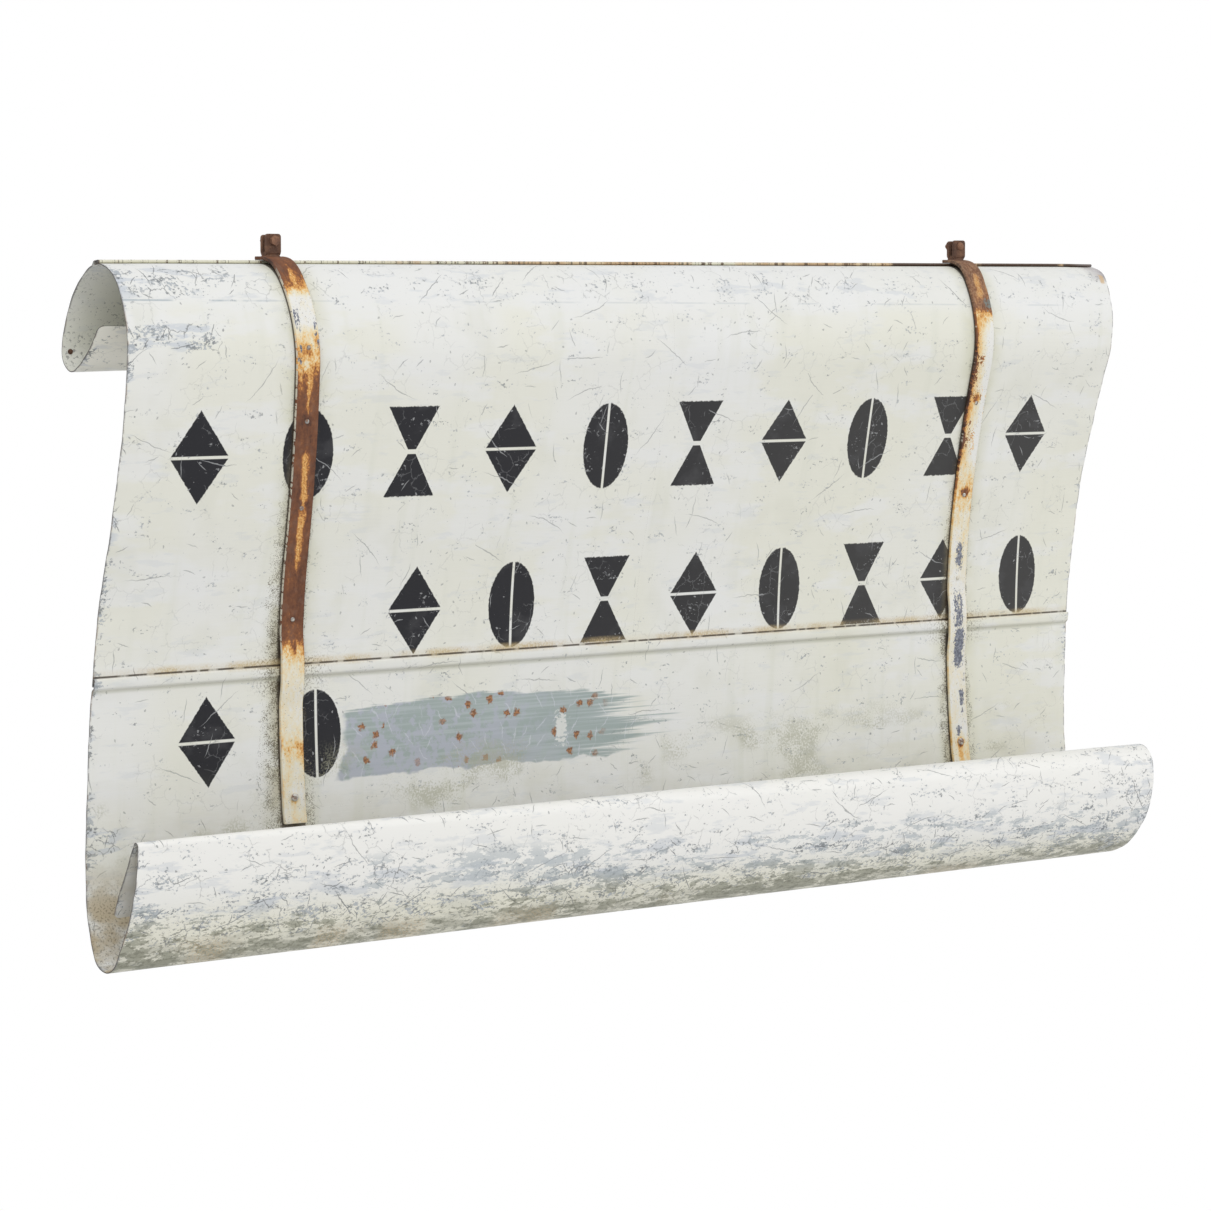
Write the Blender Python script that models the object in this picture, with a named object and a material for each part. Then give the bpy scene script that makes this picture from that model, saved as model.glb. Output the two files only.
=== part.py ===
"""Scroll-shaped sheet-metal shop sign, hung from two strap hangers.

Metres, +Z up, +X along the sign to the viewer's right, +Y to the back. The origin is at the
middle of the sign's length, and midway in depth and height between the axes of the two
hanging bolts. Three sheet panels are bent to one section that curls back at the top and
forward at the bottom, and interlocked hook seams join them. The section differs a little from end to end, as a hand-rolled one does: each
end is a chain of arcs, and the sheet is ruled from one end to the other.
"""
from math import cos, hypot, pi, radians, sin, sqrt, tan

import bmesh
import bpy
import numpy as np
from mathutils import Matrix, Vector

# The sheet
SIGN_LENGTH = 1.500
SHEET = 0.0010
GAP = 0.0003
CORNER_ROUND = 0.008
SEAM_WIDTH = 0.0095
SEAM_RAMP = 0.0060
CROWN_SEAM_FRONT = 0.0020

# Section at the left end: height of the middle seam, lean there, then run and turn of each arc
LEFT_SEAM_HEIGHT = 0.3235
LEFT_LEAN = -9.0
LEFT_WAIST_RUN = 0.141
LEFT_WAIST_TURN = -10.0
LEFT_BREAST_RUN = 0.206
LEFT_BREAST_TURN = 11.0
LEFT_BROW_RUN = 0.097
LEFT_BROW_TURN = 42.0
LEFT_CROWN_RUN = 0.045
LEFT_CROWN_TURN = 58.0
LEFT_BELLY_RUN = 0.236
LEFT_BELLY_TURN = 8.0
LEFT_HEEL_RUN = 0.074
LEFT_HEEL_TURN = 29.0
LEFT_KEEL_RUN = 0.052
LEFT_KEEL_TURN = 115.0
LEFT_BOW_RUN = 0.147
LEFT_BOW_TURN = 32.0
LEFT_LIP_RUN = 0.012
LEFT_LIP_TURN = 157.0
LEFT_RETURN_RUN = 0.098

# Section at the right end
RIGHT_SEAM_HEIGHT = 0.3130
RIGHT_SEAM_SETBACK = 0.0050
RIGHT_LEAN = -3.6
RIGHT_WAIST_RUN = 0.132
RIGHT_WAIST_TURN = -6.0
RIGHT_BREAST_RUN = 0.208
RIGHT_BREAST_TURN = -11.0
RIGHT_BROW_RUN = 0.116
RIGHT_BROW_TURN = 45.0
RIGHT_CROWN_RUN = 0.036
RIGHT_CROWN_TURN = 66.0
RIGHT_BELLY_RUN = 0.256
RIGHT_BELLY_TURN = 10.0
RIGHT_HEEL_RUN = 0.050
RIGHT_HEEL_TURN = 42.0
RIGHT_KEEL_RUN = 0.098
RIGHT_KEEL_TURN = 83.0
RIGHT_BOW_RUN = 0.123
RIGHT_BOW_TURN = 55.0
RIGHT_LIP_RUN = 0.050
RIGHT_LIP_TURN = 115.0
RIGHT_RETURN_RUN = 0.080

# The back of the top roll, alike at both ends
POLL_RUN = 0.030
POLL_TURN = 33.0
NAPE_RUN = 0.100
NAPE_TURN = 44.0
CURL_RUN = 0.048
CURL_TURN = 129.0
TONGUE_RUN = 0.069
TONGUE_TURN = 30.0

# Straps
STRAP_INSET_LEFT = 0.217
STRAP_INSET_RIGHT = 0.246
STRAP_LEAN = 4.3
STRAP_WIDTH = 0.030
STRAP_THICKNESS = 0.0040
STRAP_EDGE = 0.0005
STRAP_BLEND = 0.035
STRAP_LIFT = 0.0020
STRAP_TAIL = 0.027
STRAP_HEEL = 0.003
SCREW_DROP_LEFT = 0.156
SCREW_DROP_RIGHT = 0.163

# Rivets through the straps, by distance above the middle seam
LEFT_RIVET_LOW = 0.055
LEFT_RIVET_MIDDLE = 0.185
LEFT_RIVET_HIGH = 0.288
LEFT_RIVET_TOP = 0.366
RIGHT_RIVET_LOW = 0.056
RIGHT_RIVET_MIDDLE = 0.172
RIGHT_RIVET_TOP = 0.300

# Clevises
EAR_WIDTH = 0.019
EAR_THICKNESS = 0.0040
EAR_CORNER = 0.0035
FRONT_EAR_HEIGHT = 0.0245
REAR_EAR_HEIGHT = 0.0235
LEFT_EAR_GAP = 0.0045
RIGHT_EAR_GAP = 0.0060
CLEVIS_BEND = 0.0015
CLEVIS_SETBACK = -0.0010
BOLT_HEIGHT = 0.0170

# Hanging bolts, nuts and washers
BOLT_RADIUS = 0.0030
BOLT_HEAD_RADIUS = 0.0052
BOLT_HEAD_HEIGHT = 0.0045
BOLT_CHAMFER = 0.0008
BOLT_HEAD_TURN = 22.0
BOLT_TAIL = 0.0040
NUT_ACROSS = 0.0100
NUT_HEIGHT = 0.0050
WASHER_RADIUS = 0.0062
WASHER_THICKNESS = 0.0012

# Rivets, their burrs, and the slotted screws at the straps' lower ends
RIVET_RADIUS = 0.0020
RIVET_HEAD_RADIUS = 0.0028
RIVET_HEAD_HEIGHT = 0.0012
BURR_RADIUS = 0.0045
BURR_THICKNESS = 0.0010
RIVET_TAIL_RADIUS = 0.0030
RIVET_TAIL_HEIGHT = 0.0010
SCREW_RADIUS = 0.0025
SCREW_HEAD_RADIUS = 0.0046
SCREW_HEAD_HEIGHT = 0.0026
SCREW_SLOT_WIDTH = 0.0014
SCREW_SLOT_DEPTH = 0.0012
SCREW_SLOT_TURN = -25.0
SCREW_TAIL = 0.0025
SCREW_NUT_ACROSS = 0.0080
SCREW_NUT_HEIGHT = 0.0040
STUD_INSET = 0.010
STUD_DROP = 0.004
STUD_HEAD_RADIUS = 0.0050
STUD_HEAD_HEIGHT = 0.0048

# Fineness of the mesh
STEP_TURN = 8.0
STEP_RUN = 0.045
FOLD_STEPS = 4
STATION_COUNT = 9
ROUND_SIDES = 20
HOLE_SIDES = 14
FLAT_MARGIN = 0.0065

PITCH = SHEET + GAP
SEAM_RISE = 3 * PITCH
FOLD_REACH = PITCH + SHEET / 2
CREST = 4.0
TOP_EDGE = 8.0
BOTTOM_EDGE = -6.0
CURL_START = 6.0

BACK_OF_ROLL = [(POLL_RUN, POLL_TURN), (NAPE_RUN, NAPE_TURN), (CURL_RUN, CURL_TURN),
                (TONGUE_RUN, TONGUE_TURN)]
LEFT_UP = [(LEFT_WAIST_RUN, LEFT_WAIST_TURN), (LEFT_BREAST_RUN, LEFT_BREAST_TURN),
           (LEFT_BROW_RUN, LEFT_BROW_TURN), (LEFT_CROWN_RUN, LEFT_CROWN_TURN)] + BACK_OF_ROLL
RIGHT_UP = [(RIGHT_WAIST_RUN, RIGHT_WAIST_TURN), (RIGHT_BREAST_RUN, RIGHT_BREAST_TURN),
            (RIGHT_BROW_RUN, RIGHT_BROW_TURN), (RIGHT_CROWN_RUN, RIGHT_CROWN_TURN)] + BACK_OF_ROLL
LEFT_DOWN = [(LEFT_BELLY_RUN, LEFT_BELLY_TURN), (LEFT_HEEL_RUN, LEFT_HEEL_TURN),
             (LEFT_KEEL_RUN, LEFT_KEEL_TURN), (LEFT_BOW_RUN, LEFT_BOW_TURN),
             (LEFT_LIP_RUN, LEFT_LIP_TURN), (LEFT_RETURN_RUN, 0.0)]
RIGHT_DOWN = [(RIGHT_BELLY_RUN, RIGHT_BELLY_TURN), (RIGHT_HEEL_RUN, RIGHT_HEEL_TURN),
              (RIGHT_KEEL_RUN, RIGHT_KEEL_TURN), (RIGHT_BOW_RUN, RIGHT_BOW_TURN),
              (RIGHT_LIP_RUN, RIGHT_LIP_TURN), (RIGHT_RETURN_RUN, 0.0)]


def arc_point(start, heading, run, turn):
    """Point reached from start along an arc, with the heading measured from +Z towards +Y."""
    if abs(turn) < 1e-6:
        return np.array([start[0] + run * sin(heading), start[1] + run * cos(heading)])
    reach = run / turn
    return np.array([start[0] + reach * (cos(heading) - cos(heading + turn)),
                     start[1] + reach * (sin(heading + turn) - sin(heading))])


class ArcChain:
    """A chain of arcs in the YZ plane: one unit of the parameter is one arc."""

    def __init__(self, start, heading, bends):
        self.arcs = []
        point = np.array(start)
        angle = radians(heading)
        for run, turn in bends:
            self.arcs.append((point, angle, run, radians(turn)))
            point = arc_point(point, angle, run, radians(turn))
            angle += radians(turn)

    def at(self, distance):
        """The point at a parameter, and its rate of change with the parameter."""
        index = min(int(distance), len(self.arcs) - 1)
        start, heading, run, turn = self.arcs[index]
        share = distance - index
        angle = heading + turn * share
        return (arc_point(start, heading, run * share, turn * share),
                run * np.array([sin(angle), cos(angle)]))


class EndSection:
    """The sheet's front face at one end: above the middle seam for u > 0, below it for u < 0."""

    def __init__(self, seam, lean, bends_up, bends_down):
        self.up = ArcChain(seam, lean, bends_up)
        self.down = ArcChain(seam, lean + 180.0, bends_down)

    def at(self, u):
        if u >= 0:
            return self.up.at(u)
        point, rate = self.down.at(-u)
        return point, -rate


LEFT_END = EndSection((0.0, LEFT_SEAM_HEIGHT), LEFT_LEAN, LEFT_UP, LEFT_DOWN)
RIGHT_END = EndSection((RIGHT_SEAM_SETBACK, RIGHT_SEAM_HEIGHT), RIGHT_LEAN, RIGHT_UP, RIGHT_DOWN)


class Section:
    """The sheet's front face at a distance x from the left end, between the two end sections."""

    def __init__(self, x):
        self.x = x
        self.share = x / SIGN_LENGTH
        self.u_table = np.linspace(BOTTOM_EDGE, TOP_EDGE, 561)
        self.run_table = None

    def mix(self, u, which):
        return (1 - self.share) * LEFT_END.at(u)[which] + self.share * RIGHT_END.at(u)[which]

    def rate(self, u):
        return self.mix(u, 1)

    def point(self, u, lift=0.0):
        """The point at u, raised from the front face by lift."""
        rise = self.rate(u)
        rise = rise / hypot(*rise)
        return self.mix(u, 0) + lift * np.array([-rise[1], rise[0]])

    def measure(self):
        """Lengths along the sheet for a row of parameters, worked out when first asked for."""
        if self.run_table is None:
            rates = np.array([hypot(*self.rate(u)) for u in self.u_table])
            steps = np.diff(self.u_table) * (rates[1:] + rates[:-1]) / 2
            self.run_table = np.concatenate(([0.0], np.cumsum(steps)))

    def run_at(self, u):
        self.measure()
        return float(np.interp(u, self.u_table, self.run_table))

    def shift(self, u, distance):
        """The parameter at a distance along the sheet from u, upwards where positive."""
        return float(np.interp(self.run_at(u) + distance, self.run_table, self.u_table))


def seam_place(section, seam, overlap, layer):
    """The centre line of a seam's layer, at a distance into the overlap from the seam's edge."""
    lift = layer * PITCH - SHEET / 2
    if seam == "crown":
        edge = section.shift(CREST, -CROWN_SEAM_FRONT)
        return section.point(section.shift(edge, overlap), lift)
    return section.point(section.shift(0.0, -overlap), lift)


def fold(section, seam, centre, middle_layer, from_layer, sense):
    """A half-turn of sheet: its axis is at a distance into the overlap, on the middle layer."""
    points = []
    for step in range(FOLD_STEPS + 1):
        angle = pi * step / FOLD_STEPS
        side = cos(angle) if from_layer > middle_layer else -cos(angle)
        reach = centre + sense * PITCH * sin(angle)
        points.append(seam_place(section, seam, reach, middle_layer + side))
    return points


def inner_hook(section, seam):
    """The face panel's edge in a seam: its flange's end first, then the fold, on layer 2 to 0."""
    end = seam_place(section, seam, FOLD_REACH, 2)
    return [end] + fold(section, seam, SEAM_WIDTH - FOLD_REACH, 1, 2, 1)


def outer_hook(section, seam):
    """The overlapping panel's edge: flange's end on layer 1, fold to layer 3, then its ramp."""
    end = seam_place(section, seam, SEAM_WIDTH - FOLD_REACH, 1)
    ramp_top = seam_place(section, seam, SEAM_WIDTH, 3)
    ramp_foot = seam_place(section, seam, SEAM_WIDTH + SEAM_RAMP, 0)
    return [end] + fold(section, seam, FOLD_REACH, 2, 1, -1) + [ramp_top, ramp_foot]


def body_steps(low, high):
    """Parameters between two values: each arc in equal steps of limited turn and length."""
    steps = []
    for index in range(int(BOTTOM_EDGE), int(TOP_EDGE)):
        bends = (LEFT_UP, RIGHT_UP) if index >= 0 else (LEFT_DOWN, RIGHT_DOWN)
        arc = index if index >= 0 else -index - 1
        turn = max(abs(bends[0][arc][1]), abs(bends[1][arc][1]))
        run = max(bends[0][arc][0], bends[1][arc][0])
        count = int(max(np.ceil(turn / STEP_TURN), np.ceil(run / STEP_RUN)))
        steps += [index + step / count for step in range(count)]
    return [u for u in steps if low < u < high]


def flat_about(u):
    """The two parameters between which the sheet is flat, about u."""
    steps = body_steps(BOTTOM_EDGE - 1, TOP_EDGE + 1)
    return max(step for step in steps if step <= u), min(step for step in steps if step > u)


def on_flat(section, u, lift):
    """The point raised by lift from the sheet's flat at u."""
    low, high = flat_about(u)
    start, end = section.point(low, lift), section.point(high, lift)
    return start + (end - start) * (u - low) / (high - low)


def flat_seat(section, u):
    """Where a fastener sits by u: a point clear of the flat's ends, and the outward normal."""
    low, high = flat_about(u)
    start, end = section.point(low), section.point(high)
    length = hypot(*(end - start))
    margin = min(0.5, FLAT_MARGIN / length)
    share = min(max((u - low) / (high - low), margin), 1 - margin)
    along = (end - start) / length
    return start + (end - start) * share, np.array([-along[1], along[0]])


def edge_trim(x):
    """How far a free edge is cut back where its corner is rounded."""
    inset = min(x, SIGN_LENGTH - x)
    if inset >= CORNER_ROUND:
        return 0.0
    return CORNER_ROUND - sqrt(CORNER_ROUND ** 2 - (CORNER_ROUND - inset) ** 2)


def roll_path(section):
    """Centre line of the top panel, from its seam over the back to the free edge."""
    foot = section.shift(CREST, SEAM_WIDTH + SEAM_RAMP - CROWN_SEAM_FRONT)
    edge = section.shift(TOP_EDGE, -edge_trim(section.x))
    body = [section.point(u, -SHEET / 2) for u in body_steps(foot + 0.1, edge - 0.05)]
    return outer_hook(section, "crown") + body + [section.point(edge, -SHEET / 2)]


def face_path(section):
    """Centre line of the middle panel, hooked into both seams."""
    top = section.shift(CREST, -CROWN_SEAM_FRONT + SEAM_WIDTH - FOLD_REACH)
    bottom = section.shift(0.0, -SEAM_WIDTH + FOLD_REACH)
    body = [section.point(u, -SHEET / 2) for u in body_steps(bottom + 0.01, top - 0.02)]
    return inner_hook(section, "crown") + body[::-1] + inner_hook(section, "middle")[::-1]


def tail_path(section):
    """Centre line of the bottom panel, from its seam round the roll to the free edge."""
    foot = section.shift(0.0, -SEAM_WIDTH - SEAM_RAMP)
    edge = section.shift(BOTTOM_EDGE, edge_trim(section.x))
    body = [section.point(u, -SHEET / 2) for u in body_steps(edge + 0.03, foot - 0.02)]
    return outer_hook(section, "middle") + body[::-1] + [section.point(edge, -SHEET / 2)]


def thicken(path, thickness):
    """The two sides of a strip about its centre line, as lists of points with mitred bends."""
    points = np.array(path)
    steps = np.diff(points, axis=0)
    steps /= np.linalg.norm(steps, axis=1)[:, None]
    before = np.vstack([steps[:1], steps])
    after = np.vstack([steps, steps[-1:]])
    mean = before + after
    mean /= np.linalg.norm(mean, axis=1)[:, None]
    stretch = 1 / np.maximum((mean * before).sum(axis=1), 0.5)
    side = np.column_stack([-mean[:, 1], mean[:, 0]]) * (stretch * thickness / 2)[:, None]
    return points + side, points - side


def stations(rounded):
    """Distances from the left end at which the sheet's section is drawn."""
    result = list(np.linspace(0.0, SIGN_LENGTH, STATION_COUNT))
    if rounded:
        for share in (0.3, 1.0):
            result += [CORNER_ROUND * share, SIGN_LENGTH - CORNER_ROUND * share]
    return sorted(result)


def strap_centres():
    return {"left": STRAP_INSET_LEFT, "right": SIGN_LENGTH - STRAP_INSET_RIGHT}


def add_object(name, mesh, material):
    mesh.materials.append(material)
    body = bpy.data.objects.new(name, mesh)
    bpy.context.collection.objects.link(body)
    return body


def loft(name, xs, paths, thickness, material):
    """A strip swept along X: one closed outline at each station, joined and capped.

    A station's x is one value, or one for each point of its path.
    """
    shape = bmesh.new()
    rings = []
    for x, path in zip(xs, paths):
        upper, lower = thicken(path, thickness)
        outline = np.vstack([upper, lower[::-1]])
        across = np.broadcast_to(x, len(path))
        across = np.concatenate([across, across[::-1]])
        rings.append([shape.verts.new((x, y, z)) for x, (y, z) in zip(across, outline)])
    for near, far in zip(rings, rings[1:]):
        for index in range(len(near)):
            following = (index + 1) % len(near)
            shape.faces.new((near[index], near[following], far[following], far[index]))
    for ring in (rings[0], rings[-1]):
        last = len(ring) - 1
        for index in range(len(ring) // 2 - 1):
            shape.faces.new((ring[index], ring[index + 1], ring[last - index - 1], ring[last - index]))
    bmesh.ops.recalc_face_normals(shape, faces=shape.faces)
    mesh = bpy.data.meshes.new(name)
    shape.to_mesh(mesh)
    shape.free()
    mesh.shade_smooth()
    mesh.set_sharp_from_angle(angle=radians(40))
    return add_object(name, mesh, material)


def turned(name, profile, material, sides=ROUND_SIDES):
    """A solid turned about Z from (radius, height) points, closed on the axis or into a ring."""
    shape = bmesh.new()
    verts = [shape.verts.new((radius, 0.0, height)) for radius, height in profile]
    closed = profile[0][0] > 0
    edges = [shape.edges.new(pair) for pair in zip(verts, verts[1:])]
    if closed:
        edges.append(shape.edges.new((verts[-1], verts[0])))
    bmesh.ops.spin(shape, geom=verts + edges, cent=(0, 0, 0), axis=(0, 0, 1), angle=2 * pi,
                   steps=sides, use_merge=True)
    bmesh.ops.remove_doubles(shape, verts=shape.verts, dist=1e-7)
    bmesh.ops.recalc_face_normals(shape, faces=shape.faces)
    mesh = bpy.data.meshes.new(name)
    shape.to_mesh(mesh)
    shape.free()
    mesh.shade_smooth()
    mesh.set_sharp_from_angle(angle=radians(40))
    return add_object(name, mesh, material)


def prism(name, outline, depth, material):
    """A closed XY outline raised along Z by a depth."""
    shape = bmesh.new()
    face = shape.faces.new([shape.verts.new((x, y, 0.0)) for x, y in outline])
    raised = bmesh.ops.extrude_face_region(shape, geom=[face])["geom"]
    moved = [item for item in raised if isinstance(item, bmesh.types.BMVert)]
    bmesh.ops.translate(shape, verts=moved, vec=(0, 0, depth))
    bmesh.ops.recalc_face_normals(shape, faces=shape.faces)
    mesh = bpy.data.meshes.new(name)
    shape.to_mesh(mesh)
    shape.free()
    mesh.shade_smooth()
    mesh.set_sharp_from_angle(angle=radians(40))
    return add_object(name, mesh, material)


def polygon(radius, sides, start=0.0):
    return [(radius * cos(start + 2 * pi * side / sides), radius * sin(start + 2 * pi * side / sides))
            for side in range(sides)]


def hexagon(across):
    return polygon(across / 2 / cos(pi / 6), 6)


def rounded_corner(centre, radius, start, steps=4):
    """Points of a quarter turn about a centre, from a start angle."""
    return [(centre[0] + radius * cos(start + pi / 2 * step / steps),
             centre[1] + radius * sin(start + pi / 2 * step / steps)) for step in range(steps + 1)]


def boolean(target, tool, operation):
    """Cut the tool out of the target, or keep what both share, and hide the tool."""
    tool.hide_render = True
    tool.display_type = "WIRE"
    modifier = target.modifiers.new(operation.lower(), "BOOLEAN")
    modifier.operation = operation
    modifier.solver = "EXACT"
    modifier.object = tool


def drill_set(name, holes, material):
    """One cutter for several round holes, each given as a matrix, a radius and a length."""
    shape = bmesh.new()
    for matrix, radius, length in holes:
        bmesh.ops.create_cone(shape, cap_ends=True, segments=HOLE_SIDES, radius1=radius,
                              radius2=radius, depth=length, matrix=matrix)
    mesh = bpy.data.meshes.new(name)
    shape.to_mesh(mesh)
    shape.free()
    return add_object(name, mesh, material)


def outward_frame(section, u, lift):
    """A matrix whose origin is above the sheet's flat at u, with Z along the outward normal."""
    foot, out = flat_seat(section, u)
    point = foot + lift * out
    z_axis = Vector((0.0, out[0], out[1]))
    x_axis = Vector((1.0, 0.0, 0.0))
    y_axis = z_axis.cross(x_axis)
    return Matrix((
        (x_axis.x, y_axis.x, z_axis.x, section.x),
        (x_axis.y, y_axis.y, z_axis.y, point[0]),
        (x_axis.z, y_axis.z, z_axis.z, point[1]),
        (0.0, 0.0, 0.0, 1.0)))


def ease(value):
    """0 below 0, 1 above 1, and a smooth rise between."""
    value = min(max(value, 0.0), 1.0)
    return value * value * (3 - 2 * value)


class StrapLine:
    """How a strap runs from its lower end up to the crown, leaning along the sign as it goes down."""

    def __init__(self, crown_x, screw_drop):
        self.crown_x = crown_x
        self.section = Section(crown_x)
        self.screw = self.section.shift(0.0, -screw_drop)
        self.end = self.section.shift(self.screw, -STRAP_TAIL)

    def x_at(self, u):
        """The strap's middle, as a distance from the left end."""
        drop = self.section.run_at(CREST) - self.section.run_at(u)
        return self.crown_x + tan(radians(STRAP_LEAN)) * drop

    def lift(self, u):
        """Height of the strap's inner face: on the sheet, over both seams, sprung at its end."""
        section = self.section
        here = section.run_at(u)
        crown = section.run_at(CREST) - CROWN_SEAM_FRONT - here - SEAM_WIDTH
        above_seam = here - section.run_at(0.0) - SEAM_WIDTH
        below_seam = section.run_at(0.0) - SEAM_WIDTH - SEAM_RAMP - here
        over = max(ease(1 - crown / STRAP_BLEND),
                   ease(1 - max(above_seam, below_seam) / STRAP_BLEND))
        spring = ease((section.run_at(self.screw) - 2 * SCREW_HEAD_RADIUS - here) / STRAP_TAIL)
        return GAP + SEAM_RISE * over + STRAP_LIFT * spring

    def steps(self):
        """Parameters of the strap's bends: the sheet's own, the blends over the seam, and its end."""
        section = self.section
        steps = body_steps(self.end + 0.05, CREST - 0.01)
        blend = [SEAM_WIDTH + STRAP_BLEND * share for share in (0.0, 0.5, 1.0)]
        extra = [section.shift(0.0, distance) for distance in blend]
        extra += [section.shift(0.0, -SEAM_RAMP - distance) for distance in blend]
        extra.append(section.shift(self.screw, -2 * SCREW_HEAD_RADIUS))
        steps += [u for u in extra if min(self.spacing(u, step) for step in steps) > STRAP_THICKNESS]
        return sorted(steps + [self.end])

    def edge(self, offset):
        """One long edge, beside the middle by an offset: its x values and its centre line."""
        steps = self.steps()
        across = [self.x_at(u) + offset for u in steps]
        middle = STRAP_THICKNESS / 2
        points = [on_flat(Section(x), u, self.lift(u) + middle) for x, u in zip(across, steps)]
        crest = np.array([self.crest_y(), self.top() - middle])
        run = CLEVIS_SETBACK + clevis_depth() / 2 + STRAP_HEEL
        points += [crest, crest + (run / 2, 0.0), crest + (run, 0.0)]
        return np.array(across + 3 * [self.crown_x + offset]), points

    def spacing(self, u, other):
        return abs(self.section.run_at(u) - self.section.run_at(other))

    def crest_y(self):
        return float(self.section.point(CREST)[0])

    def top(self):
        """Height of the strap's top face along its level end."""
        return float(self.section.point(CREST, self.lift(CREST))[1]) + STRAP_THICKNESS


def clevis_depth():
    return 2 * EAR_THICKNESS + max(LEFT_EAR_GAP, RIGHT_EAR_GAP)


def make_strap(side, line, material):
    edges = [line.edge(-STRAP_WIDTH / 2), line.edge(STRAP_WIDTH / 2)]
    strap = loft(f"{side}_strap", [across for across, _ in edges], [path for _, path in edges],
                 STRAP_THICKNESS, material)
    bevel = strap.modifiers.new("eased edges", "BEVEL")
    bevel.width = STRAP_EDGE
    bevel.segments = 1
    bevel.limit_method = "ANGLE"
    bevel.angle_limit = radians(60)
    return strap


def clevis_outline(gap):
    """The U of a clevis in (depth, height), with its bends rounded inside and out."""
    half = gap / 2 + EAR_THICKNESS
    outer = EAR_THICKNESS + CLEVIS_BEND
    inner = gap / 2 - CLEVIS_BEND
    floor = EAR_THICKNESS + CLEVIS_BEND
    left_out = rounded_corner((-half + outer, outer), outer, pi)
    right_out = rounded_corner((half - outer, outer), outer, 1.5 * pi)
    right_in = rounded_corner((inner, floor), CLEVIS_BEND, 1.5 * pi)[::-1]
    left_in = rounded_corner((-inner, floor), CLEVIS_BEND, pi)[::-1]
    return ([(-half, FRONT_EAR_HEIGHT)] + left_out + right_out
            + [(half, REAR_EAR_HEIGHT), (gap / 2, REAR_EAR_HEIGHT)] + right_in + left_in
            + [(-gap / 2, FRONT_EAR_HEIGHT)])


def make_clevis(side, place, gap, material):
    """A U bent from flat bar: its section kept to the ears' rounded outline, then drilled."""
    upright = Matrix.Rotation(pi / 2, 4, "X")
    lengthways = Matrix(((0, 0, 1, 0), (1, 0, 0, 0), (0, 1, 0, 0), (0, 0, 0, 1)))
    clevis = prism(f"{side}_clevis", clevis_outline(gap), EAR_WIDTH, material)
    clevis.matrix_world = place @ lengthways
    clevis.data.transform(Matrix.Translation((0, 0, -EAR_WIDTH / 2)))
    corner = EAR_WIDTH / 2 - EAR_CORNER
    for height, depth_start, depth_end, end in (
            (FRONT_EAR_HEIGHT, -gap / 2 - EAR_THICKNESS - GAP, 0.0, "front"),
            (REAR_EAR_HEIGHT, 0.0, gap / 2 + EAR_THICKNESS + GAP, "rear")):
        rounding = ear_corners(f"{side}_{end}_ear_cutter", corner, height, depth_end - depth_start, material)
        rounding.matrix_world = place @ Matrix.Translation((0, depth_end, 0)) @ upright
        boolean(clevis, rounding, "DIFFERENCE")
    hole = drill_set(f"{side}_clevis_drill", [(Matrix.Identity(4), BOLT_RADIUS + GAP, 4 * clevis_depth())],
                     material)
    hole.matrix_world = place @ Matrix.Translation((0, 0, BOLT_HEIGHT)) @ upright
    boolean(clevis, hole, "DIFFERENCE")
    return clevis


def ear_corners(name, corner, height, depth, material):
    """What is cut off an ear's two top corners: a bar with the ear's rounded end taken out."""
    top = height - EAR_CORNER
    right = rounded_corner((corner, top), EAR_CORNER, 0.0, 5)
    left = rounded_corner((-corner, top), EAR_CORNER, pi / 2, 5)
    wide = EAR_WIDTH
    outline = ([(wide, top - EAR_CORNER), (wide, height + EAR_CORNER), (-wide, height + EAR_CORNER),
                (-wide, top - EAR_CORNER), (-corner - EAR_CORNER, top - EAR_CORNER)]
               + left[::-1] + right[::-1] + [(corner + EAR_CORNER, top - EAR_CORNER)])
    return prism(name, outline, depth, material)


def bolt_profile_round(reach):
    """A cup-headed bolt about its axis: head at negative height, shank to positive."""
    crown = [(BOLT_HEAD_RADIUS * sin(radians(angle)), -BOLT_HEAD_HEIGHT * cos(radians(angle)))
             for angle in (0, 18, 36, 54, 72, 90)]
    return crown + [(BOLT_RADIUS, 0.0), (BOLT_RADIUS, reach - BOLT_CHAMFER),
                    (BOLT_RADIUS - BOLT_CHAMFER, reach), (0.0, reach)]


def make_bolt(side, place, reach, material, hexagonal):
    """The hanging bolt: a round or six-sided head joined to its shank."""
    if not hexagonal:
        bolt = turned(f"{side}_bolt", bolt_profile_round(reach), material)
        bolt.matrix_world = place
        return bolt
    shank = [(0.0, -BOLT_CHAMFER), (BOLT_RADIUS, -BOLT_CHAMFER),
             (BOLT_RADIUS, reach - BOLT_CHAMFER), (BOLT_RADIUS - BOLT_CHAMFER, reach), (0.0, reach)]
    bolt = turned(f"{side}_bolt", shank, material)
    bolt.matrix_world = place
    head = prism(f"{side}_bolt_head", hexagon(NUT_ACROSS), BOLT_HEAD_HEIGHT, material)
    head.matrix_world = place @ Matrix.Translation((0, 0, -BOLT_HEAD_HEIGHT)) @ Matrix.Rotation(
        radians(BOLT_HEAD_TURN), 4, "Z")
    boolean(bolt, head, "UNION")
    return bolt


def make_nut(name, place, across, height, bore, material):
    """A hexagon nut with its bore along Z from the place's origin."""
    nut = prism(name, hexagon(across), height, material)
    nut.matrix_world = place
    hole = drill_set(f"{name}_drill", [(Matrix.Identity(4), bore, 4 * height)], material)
    hole.matrix_world = place
    boolean(nut, hole, "DIFFERENCE")
    return nut


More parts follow.
